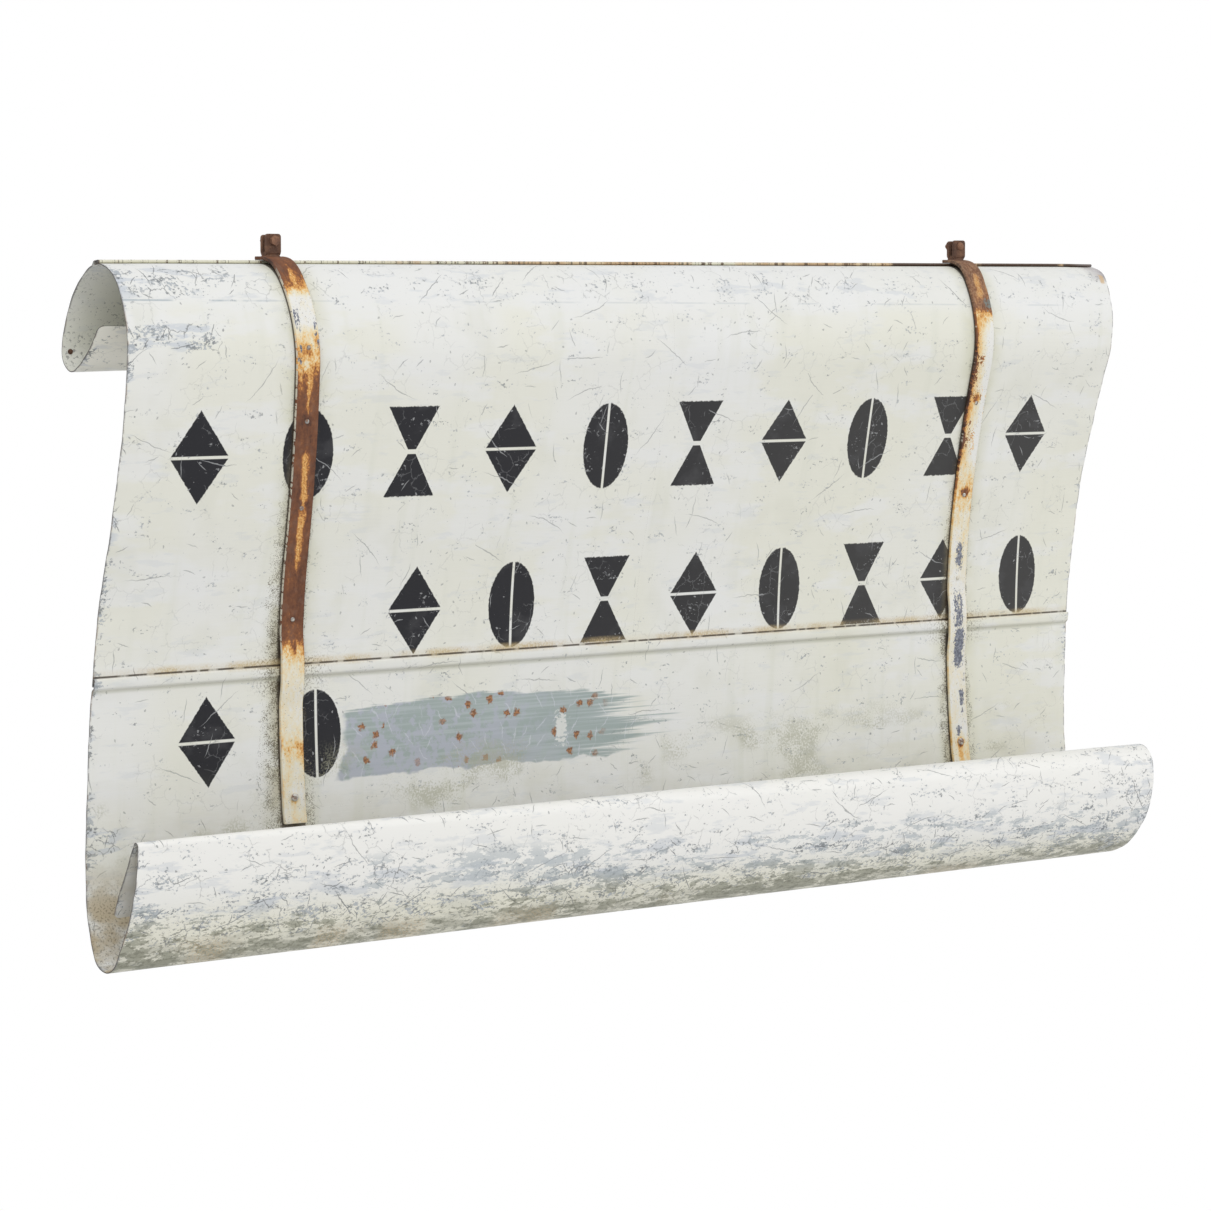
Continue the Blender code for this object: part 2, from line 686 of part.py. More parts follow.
def make_washer(name, place, inner, outer, thickness, material):
    washer = turned(name, [(inner, 0.0), (outer, 0.0), (outer, thickness), (inner, thickness)], material)
    washer.matrix_world = place
    return washer


def rivet_profile(grip, head_radius, head_height, seat):
    """A rivet about its outward axis: the head's underside at 0, the grip and tail below it."""
    dome = [(head_radius * cos(radians(angle)), head_height * sin(radians(angle)))
            for angle in (0, 30, 60, 90)]
    tail = -grip - seat
    return ([(0.0, tail - RIVET_TAIL_HEIGHT), (RIVET_TAIL_RADIUS, tail - RIVET_TAIL_HEIGHT),
             (RIVET_TAIL_RADIUS, tail), (RIVET_RADIUS, tail), (RIVET_RADIUS, 0.0)]
            + dome[:-1] + [(0.0, head_height)])


def make_rivet(name, line, u, steel):
    """A rivet through strap and sheet, its burr behind, and the hole both need."""
    section = Section(line.x_at(u))
    outside = line.lift(u) + STRAP_THICKNESS
    grip = outside + SHEET + 2 * GAP
    rivet = turned(name, rivet_profile(grip, RIVET_HEAD_RADIUS, RIVET_HEAD_HEIGHT,
                                       BURR_THICKNESS + GAP), steel, 14)
    rivet.matrix_world = outward_frame(section, u, outside + GAP)
    make_washer(f"{name}_burr", outward_frame(section, u, -SHEET - GAP - BURR_THICKNESS),
                RIVET_RADIUS + GAP, BURR_RADIUS, BURR_THICKNESS, steel)
    return outward_frame(section, u, outside / 2), RIVET_RADIUS + GAP, 4 * grip


def make_end_screw(side, line, steel):
    """The slotted screw near a strap's lower end, with its nut behind the sheet."""
    section = Section(line.x_at(line.screw))
    u = line.screw
    outside = line.lift(u) + STRAP_THICKNESS
    grip = outside + SHEET + 2 * GAP + SCREW_NUT_HEIGHT + SCREW_TAIL
    dome = [(SCREW_HEAD_RADIUS, 0.0), (SCREW_HEAD_RADIUS, SCREW_HEAD_HEIGHT / 2),
            (SCREW_HEAD_RADIUS * 0.8, SCREW_HEAD_HEIGHT * 0.85), (0.0, SCREW_HEAD_HEIGHT)]
    profile = [(0.0, -grip), (SCREW_RADIUS, -grip), (SCREW_RADIUS, 0.0)] + dome
    screw = turned(f"{side}_end_screw", profile, steel, 18)
    screw.matrix_world = outward_frame(section, u, outside + GAP)
    slot_size = (SCREW_HEAD_RADIUS, SCREW_SLOT_WIDTH / 2)
    slot = prism(f"{side}_slot_cutter",
                 [(-2 * slot_size[0], -slot_size[1]), (2 * slot_size[0], -slot_size[1]),
                  (2 * slot_size[0], slot_size[1]), (-2 * slot_size[0], slot_size[1])],
                 SCREW_HEAD_HEIGHT, steel)
    slot.matrix_world = (screw.matrix_world @ Matrix.Rotation(radians(SCREW_SLOT_TURN), 4, "Z")
                         @ Matrix.Translation((0, 0, SCREW_HEAD_HEIGHT - SCREW_SLOT_DEPTH)))
    boolean(screw, slot, "DIFFERENCE")
    make_nut(f"{side}_end_nut", outward_frame(section, u, -SHEET - GAP - SCREW_NUT_HEIGHT),
             SCREW_NUT_ACROSS, SCREW_NUT_HEIGHT, SCREW_RADIUS + GAP, steel)
    return outward_frame(section, u, outside / 2), SCREW_RADIUS + GAP, 4 * grip


def make_stud(steel):
    """The domed rivet left in the back of the top roll near its left end."""
    section = Section(STUD_INSET)
    grip = SHEET + GAP
    stud = turned("roll_rivet", rivet_profile(grip, STUD_HEAD_RADIUS, STUD_HEAD_HEIGHT, 2 * GAP), steel, 16)
    u = section.shift(CURL_START, STUD_DROP)
    stud.matrix_world = outward_frame(section, u, GAP)
    return outward_frame(section, u, 0.0), RIVET_RADIUS + GAP, 8 * grip


def make_hanging_bolt(side, place, gap, steel, hexagonal):
    """Bolt, washer and nut through a clevis, on an empty at the bolt's axis."""
    axis = bpy.data.objects.new(f"{side}_bolt_axis", None)
    bpy.context.collection.objects.link(axis)
    axis.matrix_world = place @ Matrix.Translation((0, 0, BOLT_HEIGHT))
    half = gap / 2 + EAR_THICKNESS
    backwards = axis.matrix_world @ Matrix.Rotation(-pi / 2, 4, "X")
    reach = 2 * half + 3 * GAP + WASHER_THICKNESS + NUT_HEIGHT + BOLT_TAIL
    washer_start = half + GAP
    nut_start = washer_start + WASHER_THICKNESS + GAP
    pieces = [
        make_bolt(side, backwards @ Matrix.Translation((0, 0, -half - GAP)), reach, steel, hexagonal),
        make_washer(f"{side}_bolt_washer", backwards @ Matrix.Translation((0, 0, washer_start)),
                    BOLT_RADIUS + GAP, WASHER_RADIUS, WASHER_THICKNESS, steel),
        make_nut(f"{side}_bolt_nut", backwards @ Matrix.Translation((0, 0, nut_start)),
                 NUT_ACROSS, NUT_HEIGHT, BOLT_RADIUS + GAP, steel)]
    for piece in pieces:
        placed = piece.matrix_world.copy()
        piece.parent = axis
        piece.matrix_parent_inverse = axis.matrix_world.inverted()
        piece.matrix_world = placed


def make_material(name, colour, roughness, metallic):
    material = bpy.data.materials.new(name)
    material.use_nodes = True
    shader = material.node_tree.nodes["Principled BSDF"]
    shader.inputs["Base Color"].default_value = (*colour, 1.0)
    shader.inputs["Roughness"].default_value = roughness
    shader.inputs["Metallic"].default_value = metallic
    return material


def clevis_place(line):
    """Where a clevis stands: over the strap's level end, with Z up."""
    return Matrix.Translation((line.crown_x, line.crest_y() + CLEVIS_SETBACK, line.top() + GAP))


def main():
    for item in list(bpy.data.objects):
        bpy.data.objects.remove(item, do_unlink=True)
    paint = make_material("cream_paint", (0.76, 0.76, 0.71), 0.45, 0.0)
    rust = make_material("rusty_iron", (0.20, 0.09, 0.05), 0.80, 0.3)
    steel = make_material("dull_steel", (0.45, 0.43, 0.41), 0.45, 0.9)

    rivets = {
        "left": {"low": LEFT_RIVET_LOW, "middle": LEFT_RIVET_MIDDLE, "high": LEFT_RIVET_HIGH,
                 "top": LEFT_RIVET_TOP},
        "right": {"low": RIGHT_RIVET_LOW, "middle": RIGHT_RIVET_MIDDLE, "top": RIGHT_RIVET_TOP}}
    screw_drops = {"left": SCREW_DROP_LEFT, "right": SCREW_DROP_RIGHT}
    gaps = {"left": LEFT_EAR_GAP, "right": RIGHT_EAR_GAP}

    panels = {}
    for name, path, rounded in (("roll_panel", roll_path, True), ("face_panel", face_path, False),
                                ("tail_panel", tail_path, True)):
        xs = stations(rounded)
        panels[name] = loft(name, xs, [path(Section(x)) for x in xs], SHEET, paint)

    holes = {"roll_panel": [make_stud(rust)], "face_panel": [], "tail_panel": []}
    for side, centre in strap_centres().items():
        line = StrapLine(centre, screw_drops[side])
        strap = make_strap(side, line, rust)
        strap_holes = []
        for place, height in rivets[side].items():
            u = line.section.shift(0.0, height)
            hole = make_rivet(f"{side}_rivet_{place}", line, u, steel)
            strap_holes.append(hole)
            holes["face_panel" if u > 0 else "tail_panel"].append(hole)
        screw_hole = make_end_screw(side, line, steel)
        strap_holes.append(screw_hole)
        holes["tail_panel"].append(screw_hole)
        boolean(strap, drill_set(f"{side}_strap_drill", strap_holes, steel), "DIFFERENCE")
        make_clevis(side, clevis_place(line), gaps[side], rust)
        make_hanging_bolt(side, clevis_place(line), gaps[side], rust, side == "left")
    for name, panel in panels.items():
        boolean(panel, drill_set(f"{name}_drill", holes[name], steel), "DIFFERENCE")

    axes = [bpy.data.objects[f"{side}_bolt_axis"].matrix_world.translation for side in ("left", "right")]
    middle = (axes[0] + axes[1]) / 2
    shift = Matrix.Translation((-SIGN_LENGTH / 2, -middle.y, -middle.z))
    bpy.context.view_layer.update()
    for item in bpy.data.objects:
        if item.parent is None:
            item.matrix_world = shift @ item.matrix_world
    bpy.context.view_layer.update()


main()
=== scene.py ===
"""Looks for a scroll-shaped sheet-metal shop sign with strap hangers.

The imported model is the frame. Finely curved panels and straps stand for the faceted ones, on
the same section, and the other nodes keep their shape and get their finish here.
"""

from math import pi, radians, tan

import bpy
import numpy as np
from bpy.props import FloatProperty, FloatVectorProperty, PointerProperty
from mathutils import Euler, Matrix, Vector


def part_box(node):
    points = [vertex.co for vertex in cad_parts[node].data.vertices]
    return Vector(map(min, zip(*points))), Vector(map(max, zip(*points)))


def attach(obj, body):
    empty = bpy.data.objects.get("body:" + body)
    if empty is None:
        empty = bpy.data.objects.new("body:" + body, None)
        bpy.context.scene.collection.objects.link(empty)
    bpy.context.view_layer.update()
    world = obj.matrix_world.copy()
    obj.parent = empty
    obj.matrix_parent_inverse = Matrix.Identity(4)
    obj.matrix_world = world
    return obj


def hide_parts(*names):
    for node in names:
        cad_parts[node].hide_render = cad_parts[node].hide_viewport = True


bl_info = {
    "name": "Sheet-metal shop sign",
    "version": (1, 0, 0),
    "blender": (4, 5, 0),
    "location": "3D View > Sidebar > Sign",
    "description": "Painted panels, rusty straps, fixings and a plain stage for a hanging shop sign",
    "category": "Add Mesh",
}

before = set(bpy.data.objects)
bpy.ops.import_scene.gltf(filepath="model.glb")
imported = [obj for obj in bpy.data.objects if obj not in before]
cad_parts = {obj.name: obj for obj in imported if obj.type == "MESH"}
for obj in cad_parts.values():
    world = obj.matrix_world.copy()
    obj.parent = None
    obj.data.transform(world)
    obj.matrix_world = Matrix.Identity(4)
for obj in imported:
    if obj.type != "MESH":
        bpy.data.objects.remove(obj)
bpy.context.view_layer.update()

# The sheet and its seams, in metres. PLACE is where the sign's left end lies in the frame
SIGN_LENGTH = 1.500
SHEET = 0.0010
GAP = 0.0003
PITCH = SHEET + GAP
SEAM_WIDTH = 0.0095
SEAM_RAMP = 0.0060
SEAM_RISE = 3 * PITCH
FOLD_REACH = PITCH + SHEET / 2
CROWN_SEAM_FRONT = 0.0020
CORNER_ROUND = 0.008
PAST_SEAM = 0.003
SHARP_ANGLE = radians(38.0)
PLACE = np.array([-0.750, 0.028003, -0.799470])

# Kinks along the cut ends: how far in they reach, and size, pace and start of each sine
DENT_REACH = 0.070
LEFT_DENTS = ((0.55, 47, 1.0), (0.30, 113, 2.2), (0.15, 261, 0.0))
RIGHT_DENTS = ((0.55, 39, 4.0), (0.30, 127, 0.0), (0.15, 243, 1.0))

# Run and turn of each arc, upwards and downwards from the middle seam
LEFT_UP = [(0.141, -10.0), (0.206, 11.0), (0.097, 42.0), (0.045, 58.0)]
RIGHT_UP = [(0.132, -6.0), (0.208, -11.0), (0.116, 45.0), (0.036, 66.0)]
ROLL_BACK = [(0.030, 33.0), (0.100, 44.0), (0.048, 129.0), (0.069, 30.0)]
LEFT_DOWN = [(0.236, 8.0), (0.074, 29.0), (0.052, 115.0), (0.147, 32.0), (0.012, 157.0), (0.098, 0.0)]
RIGHT_DOWN = [(0.256, 10.0), (0.050, 42.0), (0.098, 83.0), (0.123, 55.0), (0.050, 115.0), (0.080, 0.0)]

# Depth, height and heading of the sheet at the middle seam
LEFT_SEAM = (0.0, 0.3235, -9.0)
RIGHT_SEAM = (0.0050, 0.3130, -3.6)

# Parameters of the crest and of both free edges
CREST = 4.0
LOWEST = -6.0
HIGHEST = 8.0

# Straps; for each, its place on the crest and its screw's distance under the middle seam
STRAP_LEAN = radians(4.3)
STRAP_WIDTH = 0.030
STRAP_THICKNESS = 0.0040
STRAP_BLEND = 0.035
STRAP_LIFT = 0.0020
STRAP_TAIL = 0.027
STRAP_LEVEL = 0.0090
STRAP_STEPS = 190
SCREW_HEAD = 0.0046
STRAPS = {"left": (0.217, 0.156), "right": (1.254, 0.163)}

# The beads at the clevises' feet, and each ring's growth in x and y and its rise, if not the bead's
BEAD_POINTS = 64
BEAD_HEIGHT = 0.0021
BEAD_RINGS = ((0.0009, -0.0003, -0.0002), (0.0006, -0.0008, 0.0006), (-0.0004, -0.0016, None))

# Each row of marks: middle, half height, place of the first mark, pitch and number
STENCIL_ROWS = ((0.248, 0.053, 0.100, 0.1417, 10), (0.056, 0.053, 0.420, 0.1400, 8),
                (-0.082, 0.052, 0.150, 0.1450, 2))

# Colours from dark rust to cream paint, and from dark iron to light
RUST_RAMP = [(0.00, (0.050, 0.024, 0.017)), (0.16, (0.135, 0.052, 0.026)), (0.34, (0.205, 0.078, 0.033)),
             (0.44, (0.330, 0.130, 0.042)), (0.50, (0.560, 0.235, 0.060)), (0.60, (0.760, 0.430, 0.135)),
             (0.70, (0.800, 0.610, 0.330)), (0.82, (0.790, 0.720, 0.540)), (1.00, (0.790, 0.785, 0.750))]
IRON_RAMP = [(0.30, (0.060, 0.032, 0.022)), (0.45, (0.115, 0.058, 0.037)),
             (0.58, (0.185, 0.095, 0.055)), (0.72, (0.270, 0.135, 0.070))]
STEEL = (0.46, 0.45, 0.43)

# Levels of paint and of the orange streak along each strap, in shares of its span
STRAP_SPAN = 0.70
LEFT_PAINT = [(0.00, 0.30), (0.045, 0.30), (0.075, 0.42), (0.086, 0.60), (0.094, 0.94), (0.135, 1.00),
              (0.150, 0.74), (0.195, 0.62), (0.225, 0.36), (0.27, 0.26), (0.60, 0.24), (0.645, 0.28),
              (0.668, 0.50), (0.70, 0.80), (0.74, 0.90), (0.81, 0.88), (0.835, 0.66), (0.87, 0.86),
              (1.00, 0.86)]
LEFT_STREAK = [(0.00, 0.10), (0.040, 0.30), (0.055, 0.62), (0.085, 0.66), (0.095, 0.20), (0.17, 0.42),
               (0.197, 0.62), (0.240, 0.60), (0.250, 0.44), (0.272, 0.42), (0.285, 0.05), (0.332, 0.05),
               (0.345, 0.66), (0.415, 0.66), (0.425, 0.44), (0.434, 0.62), (0.515, 0.60), (0.530, 0.40),
               (0.55, 0.05), (1.00, 0.00)]
RIGHT_PAINT = [(0.00, 0.24), (0.050, 0.30), (0.105, 0.30), (0.118, 0.56), (0.138, 0.78), (0.155, 0.90),
               (0.24, 0.86), (0.28, 0.84), (0.34, 0.90), (0.42, 0.86), (0.455, 0.64), (0.48, 0.70),
               (0.50, 0.84), (0.64, 0.95), (0.91, 0.94), (0.935, 0.78), (1.00, 0.84)]
RIGHT_STREAK = [(0.00, 0.05), (0.040, 0.15), (0.050, 0.58), (0.084, 0.60), (0.094, 0.20), (0.110, 0.05),
                (1.00, 0.00)]

# Distances of the rivets and screw from the crest, and chips: low, high, middle, breadth, amount
LEFT_FIXINGS = (0.123, 0.201, 0.304, 0.434, 0.645)
RIGHT_FIXINGS = (0.1915, 0.3195, 0.6545)
LEFT_CHIPS = ((0.062, 0.070, 0.0, 0.012, 0.44), (0.074, 0.104, -0.010, 0.006, 0.52),
              (0.084, 0.122, 0.013, 0.004, 0.50), (0.112, 0.150, -0.010, 0.005, 0.42))
RIGHT_CHIPS = ((0.060, 0.079, 0.010, 0.009, 0.66), (0.386, 0.424, 0.001, 0.008, 0.70),
               (0.450, 0.505, 0.000, 0.011, 0.60), (0.500, 0.555, 0.002, 0.010, 0.84),
               (0.562, 0.574, 0.010, 0.003, 0.66), (0.582, 0.607, 0.006, 0.005, 0.72),
               (0.609, 0.623, 0.007, 0.003, 0.64), (0.630, 0.648, -0.001, 0.005, 0.70))
STRAP_WEAR = {"left": (LEFT_PAINT, LEFT_STREAK, LEFT_FIXINGS, LEFT_CHIPS),
              "right": (RIGHT_PAINT, RIGHT_STREAK, RIGHT_FIXINGS, RIGHT_CHIPS)}

# Stage: each lamp's place, turn and size
FLOOR_HALF = 9.0
KEY_LAMP = ((-2.6, -3.2, 2.9), (48.0, 0.0, -38.0), (3.2, 2.2))
FILL_LAMP = ((2.8, -2.6, 0.6), (80.0, 0.0, 46.0), (2.4, 2.0))
CAMERA_PLACE = (-2.638, -3.289, -0.0625)
CAMERA_TURN = (84.95, 0.0, -38.03)
CAMERA_LENS = 104.05


def mixed(share, left, right):
    """The left value where the share is 0, the right one where it is 1."""
    return (1 - share) * left + share * right


def along_arc(run, heading, turn, share):
    """Where an arc leads: its chord is run * share * sinc(half the turn), at the mean heading."""
    half = turn * share / 2
    chord = run * share * np.sinc(half / pi)
    return np.stack([chord * np.sin(heading + half), chord * np.cos(heading + half)], axis=-1)


class EndSection:
    """The front face at one end: arc after arc from the bottom edge (u = -6) to the top one (u = 8)."""

    def __init__(self, seam, down, up):
        bends = np.array([(run, -turn) for run, turn in down[::-1]] + list(up))
        self.runs = bends[:, 0]
        self.turns = np.radians(bends[:, 1])
        start = radians(seam[2]) - self.turns[:len(down)].sum()
        self.headings = start + np.concatenate(([0.0], np.cumsum(self.turns)[:-1]))
        steps = along_arc(self.runs, self.headings, self.turns, 1.0)
        self.starts = np.vstack([np.zeros((1, 2)), np.cumsum(steps, axis=0)])
        self.starts += np.array(seam[:2]) - self.starts[len(down)]
        self.lengths = np.concatenate(([0.0], np.cumsum(self.runs)))
        self.lengths -= self.lengths[len(down)]

    def at(self, u):
        """Points and headings at parameters u: unit i is arc i."""
        index = np.clip(np.floor(u - LOWEST).astype(int), 0, len(self.runs) - 1)
        share = u - LOWEST - index
        points = self.starts[index] + along_arc(self.runs[index], self.headings[index],
                                                self.turns[index], share)
        return points, self.headings[index] + self.turns[index] * share


LEFT_END = EndSection(LEFT_SEAM, LEFT_DOWN, LEFT_UP + ROLL_BACK)
RIGHT_END = EndSection(RIGHT_SEAM, RIGHT_DOWN, RIGHT_UP + ROLL_BACK)
UNITS = np.arange(LOWEST, HIGHEST + 1)


def sheet_point(x, u, lift):
    """Points on the sheet: both end sections mixed in proportion to x, raised along the normal."""
    share = (x / SIGN_LENGTH)[..., None]
    left, left_heading = LEFT_END.at(u)
    right, right_heading = RIGHT_END.at(u)
    point = mixed(share, left, right)
    heading = mixed(share[..., 0], left_heading, right_heading)
    point = point + lift[..., None] * np.stack([-np.cos(heading), np.sin(heading)], axis=-1)
    return np.concatenate([x[..., None], point], axis=-1) + PLACE


def sheet_length(x, u):
    """Distance along the sheet from the middle seam, upwards positive, at x and u."""
    left = np.interp(u, UNITS, LEFT_END.lengths)
    return mixed(x / SIGN_LENGTH, left, np.interp(u, UNITS, RIGHT_END.lengths))


def shifted(x, u, distance):
    """The parameter at a short distance along the sheet from a whole u, by the arcs beside it."""
    index = int(u - LOWEST)
    below, above = (mixed(x / SIGN_LENGTH, LEFT_END.runs[i], RIGHT_END.runs[i]) for i in (index - 1, index))
    return u + distance / np.where(distance < 0, below, above)


def ease(value):
    """0 below 0, 1 above 1, and 3v^2 - 2v^3 between."""
    value = np.clip(value, 0.0, 1.0)
    return value * value * (3 - 2 * value)


def fold(centre, middle, start, sense, steps=8):
    """A half-turn of sheet as (overlap, layer) pairs: cos gives the layer and sin the reach."""
    angle = np.linspace(0, pi, steps + 1)
    side = np.cos(angle) if start > middle else -np.cos(angle)
    return np.column_stack([centre + sense * PITCH * np.sin(angle), middle + side])


def inner_hook():
    """The face panel's edge in a seam: flange on layer 2, then the fold down to layer 0."""
    return np.vstack([[(FOLD_REACH, 2)], fold(SEAM_WIDTH - FOLD_REACH, 1, 2, 1)])


def outer_hook():
    """The covering panel's edge: flange on layer 1, fold up to layer 3, and an eased ramp down."""
    ramp = np.linspace(0, 1, 7)
    slope = np.column_stack([SEAM_WIDTH + SEAM_RAMP * ramp, 3 * (1 - ease(ramp))])
    return np.vstack([[(SEAM_WIDTH - FOLD_REACH, 1)], fold(FOLD_REACH, 2, 1, -1), slope])


def hook_path(x, seam, hook):
    """A hook's points on the sheet at every station: parameters and lifts."""
    overlap, layer = hook.T
    sense, start = (1, -CROWN_SEAM_FRONT) if seam == CREST else (-1, 0.0)
    u = shifted(x[:, None], seam, start + sense * overlap[None, :])
    return u, np.broadcast_to(layer * PITCH - SHEET / 2, u.shape)


def arc_steps(turn, run):
    """Parameters along the whole section: every arc in equal steps of limited turn and length."""
    turns = np.maximum(np.abs(LEFT_END.turns), np.abs(RIGHT_END.turns))
    runs = np.maximum(LEFT_END.runs, RIGHT_END.runs)
    counts = np.ceil(np.maximum(turns / turn, runs / run)).astype(int)
    return np.concatenate([LOWEST + i + np.arange(n) / n for i, n in enumerate(counts)])


BODY_STEPS = arc_steps(radians(5.0), 0.0065)


def body_path(x, low, high):
    """Parameters from low to high, one row for each station, on the middle of the sheet."""
    margin = 0.02
    inner = BODY_STEPS[(BODY_STEPS > low.max() + margin) & (BODY_STEPS < high.min() - margin)]
    u = np.hstack([low[:, None], np.broadcast_to(inner, (len(x), len(inner))), high[:, None]])
    return u, np.full(u.shape, -SHEET / 2)


def edge_trim(x):
    """How far a free edge is cut back at its rounded corners: r - sqrt(r^2 - (r - inset)^2)."""
    inset = np.minimum(np.minimum(x, SIGN_LENGTH - x), CORNER_ROUND)
    return CORNER_ROUND - np.sqrt(CORNER_ROUND ** 2 - (CORNER_ROUND - inset) ** 2)


def dents(x, s, depth):
    """Small kinks in the sheet near its cut ends: sines of the length along the sheet."""
    left, right = (ease(1 - inset / DENT_REACH) * sum(size * np.sin(pace * s + start)
                                                      for size, pace, start in terms)
                   for inset, terms in ((x, LEFT_DENTS), (SIGN_LENGTH - x, RIGHT_DENTS)))
    return depth * (left + right)


def thicken(middle, thickness):
    """Both faces of a strip about its middle line, mitred: offset / cos(half the bend)."""
    step = np.diff(middle, axis=1)
    step /= np.linalg.norm(step, axis=-1, keepdims=True)
    before = np.concatenate([step[:, :1], step], axis=1)
    after = np.concatenate([step, step[:, -1:]], axis=1)
    mean = before + after
    mean /= np.linalg.norm(mean, axis=-1, keepdims=True)
    stretch = 1 / np.maximum((mean * before).sum(axis=-1, keepdims=True), 0.5)
    side = np.stack([np.zeros(mean.shape[:2]), -mean[..., 2], mean[..., 1]], axis=-1)
    return middle + side * stretch * thickness / 2, middle - side * stretch * thickness / 2


def add_object(name, data, place=(0.0, 0.0, 0.0), turn=(0.0, 0.0, 0.0)):
    """An object in the scene at a place, turned by angles in degrees."""
    thing = bpy.data.objects.new(name, data)
    thing.location = place
    thing.rotation_euler = Euler([radians(angle) for angle in turn])
    bpy.context.scene.collection.objects.link(thing)
    return thing


def mesh_from(name, points, faces, places, attribute):
    """A smooth-shaded object that carries each point's place as an attribute.

    Its faces point outwards: the sum of a . (b x c + c x d) over its quads is positive.
    """
    flat = points.reshape(-1, 3)
    a, b, c, d = flat[np.array([face for face in faces if len(face) == 4])].transpose(1, 0, 2)
    if (a * (np.cross(b, c) + np.cross(c, d))).sum() < 0:
        faces = [face[::-1] for face in faces]
    mesh = bpy.data.meshes.new(name)
    mesh.from_pydata(flat.tolist(), [], faces)
    layer = mesh.attributes.new(attribute, "FLOAT_VECTOR", "POINT")
    layer.data.foreach_set("vector", places.reshape(-1).astype(np.float32))
    mesh.shade_smooth()
    mesh.set_sharp_from_angle(angle=SHARP_ANGLE)
    return add_object(name, mesh)


def ring_faces(rings, points):
    """Quads between neighbouring rings: (i, j), (i, j+1), (i+1, j+1), (i+1, j)."""
    index = np.arange(rings * points).reshape(rings, points)
    following = np.roll(index, -1, axis=1)
    return np.stack([index[:-1], following[:-1], following[1:], index[1:]], axis=-1).reshape(-1, 4)


def capped_faces(rings, points):
    """The quads of a closed tube, and one face over each of its ends."""
    index = np.arange(rings * points).reshape(rings, points)
    return ring_faces(rings, points).tolist() + [index[0, ::-1].tolist(), index[-1].tolist()]


def panel_stations():
    """Distances from the left end: close together at the rounded corners, then every 12 mm."""
    near = np.array([0.0, 0.0002, 0.0008, 0.0018, 0.0032, 0.0050, 0.0080, 0.0130, 0.0200])
    middle = np.linspace(0.0300, SIGN_LENGTH - 0.0300, 121)
    return np.concatenate([near, middle, SIGN_LENGTH - near[::-1]])


def build_panel(name, path, front_first, depth):
    """A panel: its middle line at every station, thickened, ringed and capped at both ends."""
    x = panel_stations()
    u, lift = path(x)
    across = np.broadcast_to(x[:, None], u.shape)
    s = sheet_length(across, u)
    upper, lower = thicken(sheet_point(across, u, lift + dents(across, s, depth)), SHEET)
    rings = np.concatenate([upper, lower[:, ::-1]], axis=1)
    side = np.full(u.shape, 1.0 if front_first else 0.0)
    places = np.stack([np.concatenate([across, across], axis=1), np.concatenate([s, s[:, ::-1]], axis=1),
                       np.concatenate([side, 1 - side], axis=1)], axis=-1)
    count = u.shape[1]
    half = np.arange(count - 1)
    cap = np.stack([half, half + 1, 2 * count - 2 - half, 2 * count - 1 - half], axis=-1)
    last = (len(x) - 1) * 2 * count
    faces = np.vstack([ring_faces(len(x), 2 * count), cap[:, ::-1], cap + last])
    return mesh_from(name, rings, faces.tolist(), places, "sheet_place")


def roll_path(x):
    """Top panel: hook at the crown, over the back, to the free edge inside the roll."""
    hook_u, hook_lift = hook_path(x, CREST, outer_hook())
    foot = shifted(x, CREST, np.full(x.shape, SEAM_WIDTH + SEAM_RAMP - CROWN_SEAM_FRONT + PAST_SEAM))
    edge = HIGHEST - edge_trim(x) / ROLL_BACK[-1][0]
    u, lift = body_path(x, foot, edge)
    return np.hstack([hook_u, u]), np.hstack([hook_lift, lift])


def face_path(x):
    """Middle panel, from its hook at the crown down to its hook in the middle seam."""
    top_u, top_lift = hook_path(x, CREST, inner_hook())
    low_u, low_lift = hook_path(x, 0.0, inner_hook())
    high = shifted(x, CREST, np.full(x.shape, SEAM_WIDTH - FOLD_REACH - CROWN_SEAM_FRONT - PAST_SEAM))
    low = shifted(x, 0.0, np.full(x.shape, FOLD_REACH - SEAM_WIDTH + PAST_SEAM))
    u, lift = body_path(x, low, high)
    return (np.hstack([top_u, u[:, ::-1], low_u[:, ::-1]]),
            np.hstack([top_lift, lift, low_lift[:, ::-1]]))


def tail_path(x):
    """Bottom panel: hook in the middle seam, down the face and round the roll to the free edge."""
    hook_u, hook_lift = hook_path(x, 0.0, outer_hook())
    foot = shifted(x, 0.0, np.full(x.shape, -SEAM_WIDTH - SEAM_RAMP - PAST_SEAM))
    edge = LOWEST + edge_trim(x) / mixed(x / SIGN_LENGTH, LEFT_DOWN[-1][0], RIGHT_DOWN[-1][0])
    u, lift = body_path(x, edge, foot)
    return np.hstack([hook_u, u[:, ::-1]]), np.hstack([hook_lift, lift])


def strap_profile(width, thickness, radius):
    """A rounded rectangle as (across, up): quarter circles at its corners and points between."""
    angle = np.linspace(0, pi / 2, 4)
    right, high = width / 2 - radius, thickness - radius
    centres = ((right, high, 0.0), (-right, high, pi / 2), (-right, radius, pi), (right, radius, 1.5 * pi))
    corners = [np.column_stack([across + radius * np.cos(angle + start), up + radius * np.sin(angle + start)])
               for across, up, start in centres]
    between = np.linspace(right, -right, 7)[1:-1]
    top = np.column_stack([between, np.full(between.shape, thickness)])
    bottom = np.column_stack([between[::-1], np.zeros(between.shape)])
    return np.vstack([corners[0], top, corners[1], corners[2], bottom, corners[3]])


